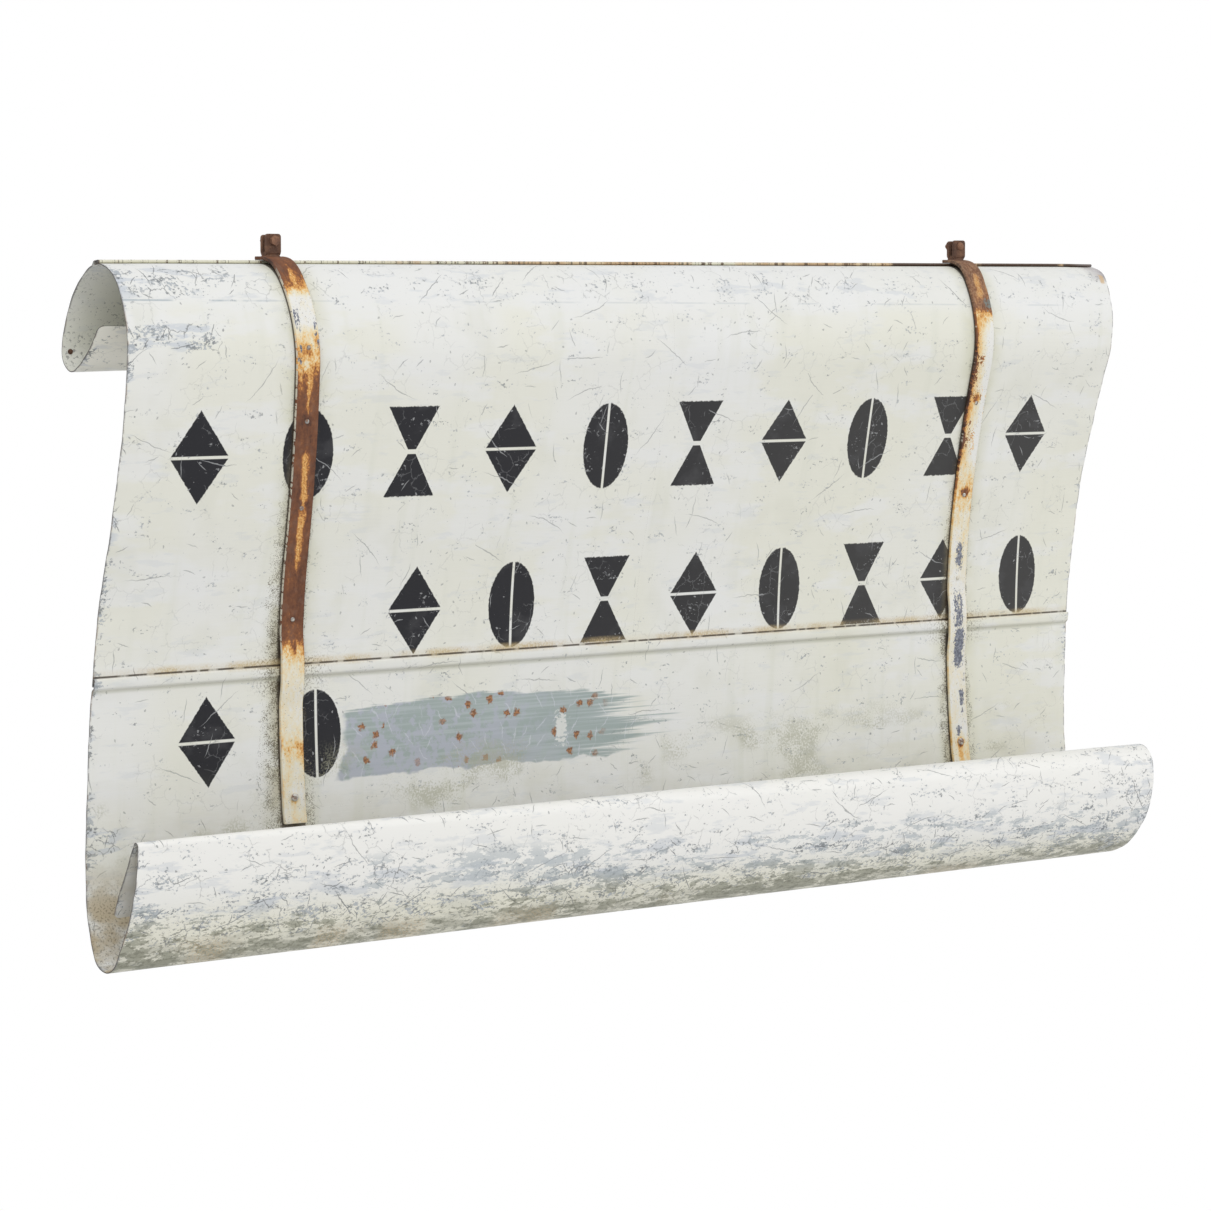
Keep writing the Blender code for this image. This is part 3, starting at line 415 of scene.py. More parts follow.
def strap_lift(s, crown_s, screw_s):
    """Height of a strap's inner face at lengths s: on the sheet, over both seams, sprung at its end."""
    crown = crown_s - CROWN_SEAM_FRONT - s - SEAM_WIDTH
    beside = np.maximum(s - SEAM_WIDTH, -SEAM_WIDTH - SEAM_RAMP - s)
    over = np.maximum(ease(1 - crown / STRAP_BLEND), ease(1 - beside / STRAP_BLEND))
    spring = ease((screw_s - 2 * SCREW_HEAD - s) / STRAP_TAIL)
    return GAP + SEAM_RISE * over + STRAP_LIFT * spring


def strap_plan(side):
    """A strap's place on the crest, and the sheet's length at its crest, its screw and every whole u."""
    crown_x, screw_drop = STRAPS[side]
    table = sheet_length(np.full(UNITS.shape, crown_x), UNITS)
    return crown_x, float(np.interp(CREST, UNITS, table)), -screw_drop, table


def build_strap(side, edge_radius):
    """A flat bar on the sheet: its profile carried from the level end over the crown and down."""
    crown_x, crown_s, screw_s, table = strap_plan(side)
    end_s = screw_s - STRAP_TAIL
    profile = strap_profile(STRAP_WIDTH, STRAP_THICKNESS, edge_radius)
    inset = profile * [1 - 2 * edge_radius / STRAP_WIDTH, 1 - edge_radius / STRAP_THICKNESS]
    inset[:, 1] += edge_radius / 2
    half_inset = (profile + inset) / 2
    s = np.concatenate([np.linspace(crown_s, end_s + edge_radius, STRAP_STEPS), [end_s, end_s]])
    drop = crown_s - s
    shapes = np.stack([profile] * STRAP_STEPS + [half_inset, inset])
    lift = strap_lift(s, crown_s, screw_s)[:, None] + shapes[..., 1]
    x = crown_x + tan(STRAP_LEAN) * drop[:, None] + shapes[..., 0]
    u = np.broadcast_to(np.interp(s, table, UNITS)[:, None], x.shape)
    hanging = sheet_point(x, u, lift)
    crest, raised = sheet_point(np.full(2, crown_x), np.full(2, CREST), np.array([0.0, GAP + SEAM_RISE]))
    back = np.array([STRAP_LEVEL, STRAP_LEVEL, STRAP_LEVEL - edge_radius, STRAP_LEVEL / 2])
    flat_shapes = np.stack([inset, half_inset, profile, profile])
    flat = np.stack([flat_shapes[..., 0] + crown_x + PLACE[0],
                     np.broadcast_to((crest[1] + back)[:, None], flat_shapes.shape[:2]),
                     flat_shapes[..., 1] + raised[2]], axis=-1)
    rings = np.concatenate([flat, hanging])
    distance = np.concatenate([-back, drop])
    shape = np.concatenate([flat_shapes, shapes])
    places = np.stack([shape[..., 0], np.broadcast_to(distance[:, None], shape.shape[:2]),
                       shape[..., 1]], axis=-1)
    faces = capped_faces(*rings.shape[:2])
    return mesh_from(f"{side}_strap_bar", rings, faces, places, "strap_place")


def build_bead(side):
    """Weld and rust round a clevis's foot: rings from the strap's upper face up to the bend.

    The rings are |cos|^0.4 ovals that swell by sines; the lower two follow the strap.
    """
    crown_x, crown_s, screw_s, table = strap_plan(side)
    s = crown_s - np.linspace(0.020, 0.0, 21)
    lift = strap_lift(s, crown_s, screw_s) + STRAP_THICKNESS
    top = sheet_point(np.full(s.shape, crown_x), np.interp(s, table, UNITS), lift)
    low, high = np.array(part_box(f"{side}_clevis"))
    angle = np.linspace(0, 2 * pi, BEAD_POINTS, endpoint=False)
    turn = np.stack([np.cos(angle), np.sin(angle)], axis=-1)
    swell = 0.00022 * (np.sin(5 * angle + crown_x) + 0.6 * np.sin(11 * angle))
    rings = []
    for grow_x, grow_y, rise in BEAD_RINGS:
        reach = (high - low)[:2] / 2 + [grow_x, grow_y] + swell[:, None]
        place = (high + low)[:2] / 2 + np.sign(turn) * np.abs(turn) ** 0.4 * reach
        bar = np.interp(place[:, 1], top[:, 1], top[:, 2])
        height = np.full(bar.shape, low[2] + BEAD_HEIGHT) if rise is None else bar + rise
        rings.append(np.column_stack([place, height]))
    rings = np.array(rings)
    faces = capped_faces(*rings.shape[:2])
    return mesh_from(f"{side}_clevis_bead", rings, faces, rings, "bead_place")


def feed(tree, socket, value):
    """Link a signal or a socket, or set a plain value; a colour gets its fourth number."""
    if isinstance(value, Signal):
        value = value.socket
    if isinstance(value, bpy.types.NodeSocket):
        tree.links.new(value, socket)
    elif socket.type == "RGBA":
        socket.default_value = (*value, 1.0)
    else:
        socket.default_value = value


def add_node(tree, kind, settings, values):
    """One node: its settings first, a ramp's stops among them, then its sockets' values or links."""
    node = tree.nodes.new(kind)
    stops = settings.get("stops", [])
    for _ in stops[2:]:
        node.color_ramp.elements.new(1.0)
    for index, (place, colour) in enumerate(stops):
        node.color_ramp.elements[index].position = place
        node.color_ramp.elements[index].color = (*colour, 1.0)
    for name, value in settings.items():
        if name != "stops":
            setattr(node, name, value)
    for name, value in values.items():
        feed(tree, node.inputs[name], value)
    return node


def maths(operation, swapped=False):
    """A method of Signal that adds one Math node, its terms swapped in a reflected form."""
    def method(self, *terms):
        ordered = (*terms, self) if swapped else (self, *terms)
        node = add_node(self.tree, "ShaderNodeMath", {"operation": operation}, dict(enumerate(ordered)))
        return Signal(self.tree, node.outputs[0])
    return method


class Signal:
    """A number that varies over a surface; arithmetic on it adds Math nodes."""

    __add__ = __radd__ = maths("ADD")
    __sub__ = maths("SUBTRACT")
    __rsub__ = maths("SUBTRACT", swapped=True)
    __mul__ = __rmul__ = maths("MULTIPLY")
    __truediv__ = maths("DIVIDE")
    __rtruediv__ = maths("DIVIDE", swapped=True)
    __abs__ = maths("ABSOLUTE")
    larger = maths("MAXIMUM")
    smaller = maths("MINIMUM")
    root = maths("SQRT")
    whole = maths("FLOOR")
    remainder = maths("FLOORED_MODULO")
    cosine = maths("COSINE")
    sine = maths("SINE")

    def __init__(self, tree, socket):
        self.tree = tree
        self.socket = socket

    def __neg__(self):
        return self * -1.0

    def rise(self, low, high):
        """0 below low, 1 above high, smooth between."""
        node = add_node(self.tree, "ShaderNodeMapRange", {"interpolation_type": "SMOOTHSTEP"},
                        {"Value": self, "From Min": low, "From Max": high})
        return Signal(self.tree, node.outputs["Result"])

    def fall(self, low, high):
        """1 below low, 0 above high, smooth between."""
        return 1 - self.rise(low, high)

    def between(self, low, high, soft):
        """1 from low to high, 0 outside, with soft borders centred on both."""
        return self.rise(low - soft, low + soft) * self.fall(high - soft, high + soft)


class Finish:
    """A material written node by node: coats of colour and layers of relief, each over the last."""

    def __init__(self, name):
        self.material = bpy.data.materials.new(name)
        self.material.use_nodes = True
        self.tree = self.material.node_tree
        self.tree.nodes.clear()
        self.shader = self.add("ShaderNodeBsdfPrincipled", {}, {})
        self.output = self.add("ShaderNodeOutputMaterial", {}, {"Surface": self.shader.outputs["BSDF"]})
        self.colour = None
        self.normal = None

    def add(self, kind, settings, values):
        """One node of this material."""
        return add_node(self.tree, kind, settings, values)

    def signal(self, kind, settings, values):
        """The number that one node gives."""
        return Signal(self.tree, self.add(kind, settings, values).outputs[0])

    def parts(self, vector):
        """The three parts of a vector, as signals."""
        node = self.add("ShaderNodeSeparateXYZ", {}, {"Vector": vector})
        return [Signal(self.tree, socket) for socket in node.outputs]

    def place(self, attribute):
        """The parts of a place that the mesh carries as an attribute."""
        node = self.add("ShaderNodeAttribute", {"attribute_name": attribute}, {})
        return self.parts(node.outputs["Vector"])

    def object_place(self):
        """The place in the piece's own frame."""
        return self.add("ShaderNodeTexCoord", {}, {}).outputs["Object"]

    def vector(self, x, y, z):
        """Three signals or numbers as one vector."""
        return self.add("ShaderNodeCombineXYZ", {}, {"X": x, "Y": y, "Z": z}).outputs[0]

    def noise(self, vector, scale, detail, roughness=0.5, **settings):
        """Noise about 0.5, in features 1/scale wide."""
        values = {"Vector": vector, "Scale": scale, "Detail": detail, "Roughness": roughness}
        return self.signal("ShaderNodeTexNoise", settings, values)

    def level(self, value, stops):
        """A number read off straight lines between (place, number) stops."""
        greys = [(place, (number,) * 3) for place, number in stops]
        ramp = self.add("ShaderNodeValToRGB", {"stops": greys}, {"Fac": value})
        return self.signal("ShaderNodeSeparateColor", {}, {"Color": ramp.outputs["Color"]})

    def mix(self, base, colour, mask):
        """Base where the mask is 0, colour where it is 1."""
        return self.add("ShaderNodeMix", {"data_type": "RGBA"}, {0: mask, 6: base, 7: colour}).outputs[2]

    def tones(self, value, stops):
        """The first coat: a colour read off (place, colour) stops."""
        self.colour = self.add("ShaderNodeValToRGB", {"stops": stops}, {"Fac": value}).outputs["Color"]

    def coat(self, colour, mask):
        """One more colour over those so far, where the mask is 1."""
        self.colour = self.mix(self.colour, colour, mask)

    def emboss(self, height, distance):
        """One more layer of relief over those so far: height times distance, in metres."""
        under = {} if self.normal is None else {"Normal": self.normal}
        node = self.add("ShaderNodeBump", {}, {"Height": height, "Distance": distance, **under})
        self.normal = node.outputs["Normal"]

    def close(self, roughness, metallic=0.0, specular=0.5):
        """The material, with its last colour and relief on the shader."""
        for name, value in (("Base Color", self.colour), ("Roughness", roughness), ("Normal", self.normal),
                            ("Metallic", metallic), ("Specular IOR Level", specular)):
            feed(self.tree, self.shader.inputs[name], value)
        return self.material


class SheetFinish(Finish):
    """The panels' finish, over x along the sign, s up the sheet from the middle seam, and side.

    crest is the length past the crest, which lies 0.489 m up at the left end and 2 mm further up
    for each metre to the right. right is 1 on the right half. from_strap and beside are distances
    from the middle and from the edges of the nearer strap.
    """

    def __init__(self, name):
        super().__init__(name)
        self.x, self.s, self.side = self.place("sheet_place")
        self.front = self.side.rise(0.4, 0.6)
        self.back = 1 - self.front
        self.crest = self.s - (0.489 + 0.002 * self.x)
        self.right = self.x.rise(0.749, 0.751)
        centre = mixed(self.right, STRAPS["left"][0], STRAPS["right"][0]) - self.crest * tan(STRAP_LEAN)
        self.from_strap = self.x - centre
        self.beside = abs(self.from_strap) - STRAP_WIDTH / 2
        self.mottle = self.grain(17.0, 21.0, 16.0, 4.0, 0.6)
        self.fine = self.grain(400.0, 400.0, 17.0, 3.0, 0.6)
        self.run_off = self.grain(11.0, 2.0, 18.0)

    def grain(self, across, up, seed, detail=3.0, roughness=0.5):
        """Noise whose features are 1/across wide and 1/up high, different on the two sides."""
        place = self.vector(self.x * across + (self.side * 31.7 + seed * 7.3), self.s * up, 0.0)
        return self.noise(place, 1.0, detail, roughness, noise_dimensions="2D")

    def pushed(self, size, amount, seed):
        """The place on the sheet, pushed about by a noise: place + colour * amount."""
        place = self.vector(self.x + (self.side * 3.7 + seed), self.s, 0.0)
        noise = self.add("ShaderNodeTexNoise", {"noise_dimensions": "2D"},
                         {"Vector": place, "Scale": 1 / size, "Detail": 3.0})
        return self.add("ShaderNodeVectorMath", {"operation": "MULTIPLY_ADD"},
                        {0: noise.outputs["Color"], 1: (amount, amount, 0.0), 2: place}).outputs[0]

    def strokes(self, place, cell, reach, width, heading, spread, amount):
        """Short bent scratches, one to a cell of a scattered pattern where amount passes its chance.

        From the cell's own point, along = dx cos a + dy sin a and off = dy cos a - dx sin a +
        bend along^2. The scratch is where |off| / width + (along / reach)^2 is under 1.
        """
        node = self.add("ShaderNodeTexVoronoi", {"voronoi_dimensions": "2D"},
                        {"Vector": place, "Scale": 1 / cell})
        here = self.parts(place)
        point = self.parts(node.outputs["Position"])
        chance = self.parts(node.outputs["Color"])
        dx, dy = here[0] - point[0], here[1] - point[1]
        angle = (chance[0] - 0.5) * spread + heading
        cosine, sine = angle.cosine(), angle.sine()
        along = dx * cosine + dy * sine
        off = dy * cosine - dx * sine + (chance[1] - 0.5) * along * along * (0.35 / reach)
        shape = abs(off) / width + along * along * (1 / reach ** 2)
        return shape.fall(0.4, 1.0) * (amount - chance[2]).rise(0.0, 0.04)

    def cracks(self, place, cell, width):
        """The borders between the cells of a scattered pattern."""
        border = self.signal("ShaderNodeTexVoronoi",
                             {"voronoi_dimensions": "2D", "feature": "DISTANCE_TO_EDGE"},
                             {"Vector": place, "Scale": 1 / cell})
        return border.fall(width / cell * 0.4, width / cell)


def tinted(colour, tints):
    """Each channel times its tint, up to 0.9."""
    return tuple(min(channel * tint, 0.9) for channel, tint in zip(colour, tints))


def clouded_paint(f, paint):
    """The paint itself: cream clouds and cool brushed streaks, with painted light on the crown and on both
    rolls.
    """
    warm = tinted(paint, (0.965, 0.955, 0.845))
    cool = tinted(paint, (1.01, 1.015, 1.045))
    painted_highlight = tinted(paint, (1.125, 1.115, 1.115))
    smear = f.grain(5.0, 16.0, 2.0, 4.0, 0.6)
    streak = f.grain(45.0, 3.5, 3.0)
    f.colour = paint
    f.coat(warm, f.grain(3.1, 2.4, 1.0).rise(0.42, 0.60) * 0.60)
    f.coat(warm, f.x.rise(0.75, 1.15) * f.s.between(-0.30, 0.40, 0.10) * 0.40 * f.front)
    f.coat(cool, smear.rise(0.50, 0.64) * 0.65)
    f.coat((0.68, 0.69, 0.60), streak.rise(0.55, 0.80) * 0.30 * f.front)
    f.coat((0.66, 0.66, 0.57), f.grain(14.0, 11.0, 4.0).rise(0.56, 0.74) * 0.25)
    # The crown's front gets the cool white: bluish paint above the repaint line, and a faint painted
    # highlight where light falls on the crown.
    f.coat(cool, f.crest.between(-0.075, -0.006, 0.012) * f.front * 0.60)
    # Painted highlight: the bottom roll's top is painted lighter where the light falls on it.
    f.coat(painted_highlight, f.s.between(-0.56, -0.442, 0.030) * f.back * 0.9)
    # Painted light: the bottom roll's underside is painted lighter than the paint, fading to a yellowed
    # cream, against the shade that falls there.
    lightened_underside = f.mix(painted_highlight, (0.83, 0.81, 0.68), f.s.rise(-0.46, -0.40))
    f.coat(lightened_underside, f.s.between(-0.442, -0.33, 0.030) * f.back * 0.8)
    # Painted light: the flap inside the top roll is painted near white, as if lit through the open ends.
    f.coat((0.97, 0.96, 0.88), f.crest.rise(0.17, 0.20) * f.front * 0.9)


def stencil_row(f, centre, half, first, pitch, count):
    """A row of stencilled marks in turn: lozenge, roundel and hourglass, each cut by a bridge.

    Each mark is a field that is 1 on its border: |t|/a + |v|/b, sqrt((t/a)^2 + (v/b)^2), or the
    larger of |v|/b and |t| over a width that grows with |v|.
    """
    lean = f.x + tan(STRAP_LEAN) * (f.s - centre)
    cell = (lean - (first - pitch / 2)) / pitch
    index = cell.whole()
    t = abs((cell - index - 0.5) * pitch)
    v = abs(f.s - centre)
    kind = index.remainder(3.0)
    ragged = (f.grain(260.0, 260.0, 5.0, 2.0) - 0.5) * 0.05
    spread = v / half
    wide = t / 0.034
    lozenge = (t / 0.038 + spread + ragged).fall(0.985, 1.015) * v.rise(0.0012, 0.0022)
    roundel = ((wide * wide + spread * spread).root() + ragged).fall(0.975, 1.005) * t.rise(0.0012, 0.0022)
    hourglass = spread.larger(t / (0.004 + 0.031 * spread)) + ragged
    hourglass = hourglass.fall(0.985, 1.015) * v.rise(0.0022, 0.0032)
    mark = (lozenge * kind.fall(0.4, 0.6) + roundel * kind.between(0.5, 1.5, 0.1)
            + hourglass * kind.rise(1.4, 1.6))
    return mark * lean.between(first - pitch / 2, first + (count - 0.5) * pitch, 0.0005)


def stencilled_rows(f, mark_paint):
    """All rows of marks, in black that has faded towards the right. Returns where they lie."""
    first, second, third = (stencil_row(f, *row) for row in STENCIL_ROWS)
    motif = (first + second + third) * f.front
    ink = f.mix(mark_paint, (0.042, 0.041, 0.040), f.x.rise(0.45, 1.15) * 0.85)
    f.coat(f.mix(ink, (0.08, 0.08, 0.085), f.mottle.rise(0.52, 0.72) * 0.35), motif)
    return motif


def bare_zones(f):
    """How worn the paint is over the sheet, 0 to 1: the crown, both rolls' fronts and the ends."""
    left = f.x.fall(0.03, 0.24)
    crown = f.s.between(0.425, 0.466, 0.010) * (0.22 + 0.40 * left)
    crown = crown + f.s.between(0.366, 0.396, 0.006) * f.x.fall(0.09, 0.15) * 0.72
    heel = f.s.between(-0.200, -0.170, 0.006) * f.x.fall(0.03, 0.06) * 0.60
    rims = f.x.fall(0.001, 0.014) + f.x.rise(1.482, 1.499) * f.s.fall(0.18, 0.30)
    flap = f.crest.rise(0.17, 0.20) * 0.20
    front = (0.06 + crown + heel + flap + rims * 0.66 * f.grain(3.0, 14.0, 7.0).rise(0.40, 0.58)) * f.front
    bow = f.s.between(-0.478, -0.425, 0.012) * f.grain(9.0, 42.0, 6.0).rise(0.42, 0.60)
    keel = f.s.fall(-0.405, -0.375) * 0.38
    ends = f.x.rise(1.38, 1.47) * 0.28 + f.x.fall(0.0, 0.06) * 0.18
    lining = 1 - f.crest.rise(0.010, 0.060) * 0.75
    back = (0.24 + 0.38 * bow + keel * f.s.rise(-0.47, -0.40) + ends) * f.back * lining
    return (front + back).smaller(1.0)


def scratched(f, wear):
    """Scratches long and short, dots, and crazing in patches, more of each where it is worn."""
    place = f.pushed(0.012, 0.0045, 1.0)
    scratches = f.strokes(place, 0.080, 0.036, 0.00085, 0.10, 1.8, 0.32 + wear * 0.6)
    scratches = scratches.larger(f.strokes(place, 0.024, 0.010, 0.00080, 0.0, 3.0, 0.11 + wear * 0.75))
    scratches = scratches.larger(f.strokes(f.pushed(0.020, 0.006, 5.0), 0.050, 0.017, 0.00080,
                                           f.front * (pi / 2), 0.9, 0.12 + wear * 0.5))
    dots = f.strokes(f.pushed(0.004, 0.002, 7.0), 0.026, 0.0024, 0.0014, 0.0, 6.0, 0.22 + wear * 0.6)
    crazing = f.cracks(f.pushed(0.006, 0.007, 9.0), 0.020, 0.00075)
    crazing = crazing * f.grain(16.0, 24.0, 11.0).rise(0.55, 0.60) * (0.25 + wear * 1.2).smaller(1.0)
    return scratches.larger(crazing * 0.85).larger(dots)


def worn_through(f, motif):
    """Bluish smudges, flakes, cracks and scratches, paler on the marks. Returns flakes and breaks."""
    wear = bare_zones(f)
    whole = f.colour
    near = f.grain(200.0, 300.0, 8.0, 4.0, 0.68)
    cluster = f.grain(30.0, 66.0, 9.0, 3.0)
    flakes = (near * 0.60 + cluster * 0.40 + wear * 0.135).rise(0.640, 0.670)
    smudge = (f.grain(15.0, 60.0, 10.0, 5.0, 0.62) + wear * 0.14).rise(0.60, 0.70)
    breaks = scratched(f, wear)
    primer = f.mix((0.42, 0.455, 0.49), (0.20, 0.22, 0.235), f.grain(60.0, 90.0, 12.0).rise(0.45, 0.65))
    bluish = f.mix((0.55, 0.59, 0.645), (0.66, 0.655, 0.565), f.s.between(-0.420, -0.33, 0.015) * f.back)
    f.coat(bluish, smudge * (0.16 + 0.70 * wear).smaller(0.85))
    f.coat(primer, flakes * (0.70 + 0.25 * wear))
    f.coat((0.21, 0.22, 0.225), breaks * (0.50 + 0.55 * wear).smaller(0.88))
    edge = abs(f.s - 0.4215).fall(0.0004, 0.0016) * f.grain(18.0, 4.0, 13.0).rise(0.44, 0.60)
    f.coat((0.36, 0.42, 0.46), edge * f.front * (0.25 + 0.45 * f.x.fall(0.10, 0.22)))
    f.coat(f.mix(whole, (0.50, 0.51, 0.52), breaks.larger(flakes) * 0.55), motif)
    return flakes, breaks


def patch_outline(f, bristle):
    """Where the grey overpaint lies: straight at its left end, brushed out at its right one."""
    blots = f.grain(24.0, 34.0, 15.0)
    left_end = (f.x + blots * 0.03).rise(0.343, 0.352)
    right_end = (f.x + bristle * 0.26 + abs(f.s + 0.098) * 1.3).fall(0.865, 0.935)
    from_middle = f.x - 0.52
    upper_end = f.s + bristle * 0.014 + blots * 0.010 + from_middle * from_middle * 0.30
    lower_end = (f.s + blots * 0.016 + bristle * 0.004).rise(-0.1285, -0.1255)
    whole = left_end * right_end * upper_end.fall(-0.0395, -0.0355) * lower_end * f.front
    gap = abs((f.x - 0.647) / 0.009).larger(abs((f.s + 0.101) / 0.018)) + (bristle - 0.5) * 1.2
    gap = (gap + (f.grain(150.0, 210.0, 38.0, 4.0, 0.66) - 0.5) * 2.6).fall(0.65, 1.05)
    return whole * (1 - gap * 0.8)


def overpainted_patch(f):
    """Grey brushed over the lower face: lilac in places, with lighter ticks and rust spots."""
    bristle = f.grain(6.0, 230.0, 14.0, 3.0, 0.55)
    patch = patch_outline(f, bristle)
    lilac = f.grain(60.0, 62.0, 19.0, 5.0, 0.68) + f.s.fall(-0.115, -0.070) * 0.09
    grey = f.mix((0.325, 0.390, 0.380), (0.42, 0.475, 0.485), bristle.rise(0.40, 0.72))
    grey = f.mix(grey, (0.43, 0.45, 0.53), lilac.rise(0.50, 0.60) * f.x.fall(0.50, 0.70) * 0.80)
    ticks = f.strokes(f.pushed(0.010, 0.008, 12.0), 0.024, 0.014, 0.0010, pi / 2, 1.6, 0.70)
    f.coat(f.mix(grey, (0.60, 0.62, 0.68), ticks * 0.6), patch * 0.94)
    columns = f.grain(13.0, 2.5, 20.0, 1.0).rise(0.46, 0.56)
    spots = f.strokes(f.pushed(0.0045, 0.0085, 13.0), 0.022, 0.0062, 0.0060, 0.0, 6.0, 0.16 + columns * 0.50)
    rust = f.mix((0.40, 0.190, 0.085), (0.19, 0.095, 0.055), f.fine.rise(0.45, 0.56))
    f.coat(rust, spots * patch * f.x.fall(0.68, 0.73))


def strap_dirt(f, motif):
    """Yellowed paint, haze and specks beside both straps, and a dark line of painted shadow along their
    edges. Returns the yellowed zone.
    """
    beside, mottle, fine = f.beside, f.mottle, f.fine
    left_of = f.from_strap.fall(-0.002, 0.002)
    reach = f.s.between(-0.215, 0.50, 0.010) * f.front
    low = f.s.fall(0.02, 0.34)
    breadth = 0.008 + (0.020 - 0.013 * f.right) * left_of * low + 0.010 * f.s.fall(-0.12, -0.04)
    near = beside.fall(0.0, breadth)
    speckle = fine * 0.25 + f.grain(760.0, 760.0, 33.0, 2.0) * 0.45 + f.grain(75.0, 60.0, 32.0, 2.0) * 0.30
    halo = beside.fall(0.0, 0.030) * reach * (0.35 + 0.65 * mottle.rise(0.36, 0.58))
    f.coat((0.61, 0.60, 0.43), halo * 0.50 * (1 - motif))
    haze = near * near * low * left_of * reach * (0.30 + 0.70 * mottle.rise(0.40, 0.60))
    f.coat((0.40, 0.35, 0.22), haze * 0.50)
    dirt = (speckle + near * (0.040 + 0.060 * low)).rise(0.575, 0.630) * near.rise(0.02, 0.2) * reach
    f.coat((0.125, 0.105, 0.065), dirt * (0.30 + 0.50 * low) * (1 - motif * 0.5))
    # Painted shadow: a thin dark line on the sheet along each strap's edge, ragged, and widest left of the
    # strap lower down where it stands off the sheet.
    strap_edge_shadow = (beside - (fine - 0.5) * 0.006 * low).fall(0.0004, 0.0020 + 0.0016 * low * left_of)
    f.coat((0.055, 0.040, 0.026), strap_edge_shadow * reach * 0.9)
    return halo


def stained_seam(f):
    """Rust and grime along the middle seam, with painted shade under its ramp and in its open edge. Returns
    the dark line of that edge.
    """
    below = f.beside.fall(0.0, 0.05)
    # The dark line in the seam's open edge is rust and painted shade where the gap falls into shadow.
    line = abs(f.s - 0.0008).fall(0.0006, 0.0015) * f.front
    stain = f.s.between(-0.001, 0.0075, 0.0035) * f.front
    stained = (0.25 + 0.75 * f.run_off.rise(0.40, 0.58)) * (0.55 + 0.45 * f.fine.rise(0.42, 0.58))
    f.coat((0.57, 0.44, 0.23), stain * stained * 0.85)
    # Painted shade: a soft olive-grey line at the foot of the seam's ramp.
    f.coat((0.46, 0.46, 0.36), f.s.between(-0.0175, -0.0125, 0.0022) * f.front * 0.45)
    grime = f.s.between(-0.030, 0.012, 0.006) * below * f.front
    f.coat((0.14, 0.11, 0.07), grime * (f.fine + 0.05 * f.mottle).rise(0.55, 0.66) * 0.75)
    broken = f.grain(60.0, 1.0, 22.0).rise(0.36, 0.50)
    f.coat((0.060, 0.042, 0.030), line * (0.25 + 0.75 * broken).larger(below) * 0.9)
    return line


def rusty_crest(f):
    """The cover of the upper seam, along the crest: cream, then flecked ochre, then dark rust, with a line of
    painted shadow under its fold.
    """
    band = f.crest.between(-0.0035, 0.016, 0.0008) * f.front
    rust = f.grain(14.0, 60.0, 23.0, 4.0, 0.6)
    f.coat(f.mix((0.71, 0.69, 0.54), (0.62, 0.47, 0.27), f.x.rise(0.25, 0.70) * rust.rise(0.30, 0.50)),
           band * 0.85)
    f.coat((0.45, 0.27, 0.13), band * (rust + f.x.rise(0.10, 0.80) * 0.07).rise(0.58, 0.66) * 0.5)
    flecks = f.grain(95.0, 170.0, 39.0, 4.0, 0.70) + f.x.rise(0.25, 0.70) * 0.045 + (f.crest - 0.004) * 3.0
    f.coat((0.13, 0.075, 0.042), band * flecks.rise(0.575, 0.615) * 0.85)
    f.coat((0.085, 0.050, 0.032), band * (f.x + f.crest * 0.5).rise(1.139, 1.145) * rust.fall(0.62, 0.70))
    f.coat((0.09, 0.08, 0.06), band * f.fine.rise(0.58, 0.66) * 0.8)
    # Painted shadow: a thin dark line just under the seam's fold on the crest.
    f.coat((0.30, 0.27, 0.20), abs(f.crest + 0.0045).fall(0.0006, 0.0018) * f.front * 0.55)


def silted_trough(f):
    """Silt, specks and mould where the lower face runs into the bottom roll. Returns the trough."""
    trough = f.s.between(-0.50, -0.235, 0.030) * f.front
    silt = f.grain(16.0, 26.0, 24.0, 5.0, 0.6)
    f.coat((0.56, 0.53, 0.42), f.s.fall(-0.27, -0.10) * f.front * silt.rise(0.34, 0.62) * 0.38)
    f.coat((0.47, 0.375, 0.225), trough * silt.rise(0.36, 0.62) * 0.75)
    f.coat((0.15, 0.13, 0.10), trough * f.fine.rise(0.53, 0.66) * 0.60)
    mould = f.grain(7.0, 11.0, 25.0).rise(0.54, 0.66) * f.s.between(-0.20, -0.11, 0.03) * f.front
    f.coat((0.42, 0.42, 0.31), mould * (f.fine * 0.5 + silt * 0.5).rise(0.46, 0.58) * 0.6)
    return trough


def blotted_roll(f):
    """The bottom roll's outside: primer blots on its bow, and soot, mould and rust underneath."""
    bow = f.s.between(-0.480, -0.420, 0.012) * f.back
    soot = f.s.between(-0.422, -0.325, 0.022) * f.back
    keel = (f.s + f.x * 0.012).rise(-0.402, -0.370) * soot
    blots = f.grain(24.0, 66.0, 34.0, 6.0, 0.72) + f.grain(2.4, 8.0, 35.0) * 0.45
    blots = (blots + keel * 0.07).rise(0.788, 0.815)
    f.coat(f.mix((0.42, 0.47, 0.50), (0.265, 0.270, 0.200), soot), blots * (bow * 0.60 + soot * 0.70))
    weave = f.grain(120.0, 210.0, 26.0, 4.0, 0.70)
    f.coat((0.17, 0.17, 0.13), soot * (weave + keel * 0.03 + blots * 0.03).rise(0.565, 0.640) * 0.65)
    streaks = f.grain(20.0, 90.0, 36.0).rise(0.40, 0.60)
    f.coat((0.23, 0.23, 0.175), keel * (0.35 + 0.65 * streaks) * 0.55)
    rust = f.s.between(-0.392, -0.335, 0.012) * f.back * f.run_off.rise(0.50, 0.62)
    f.coat((0.60, 0.46, 0.27), rust * f.fine.rise(0.40, 0.60) * 0.45)


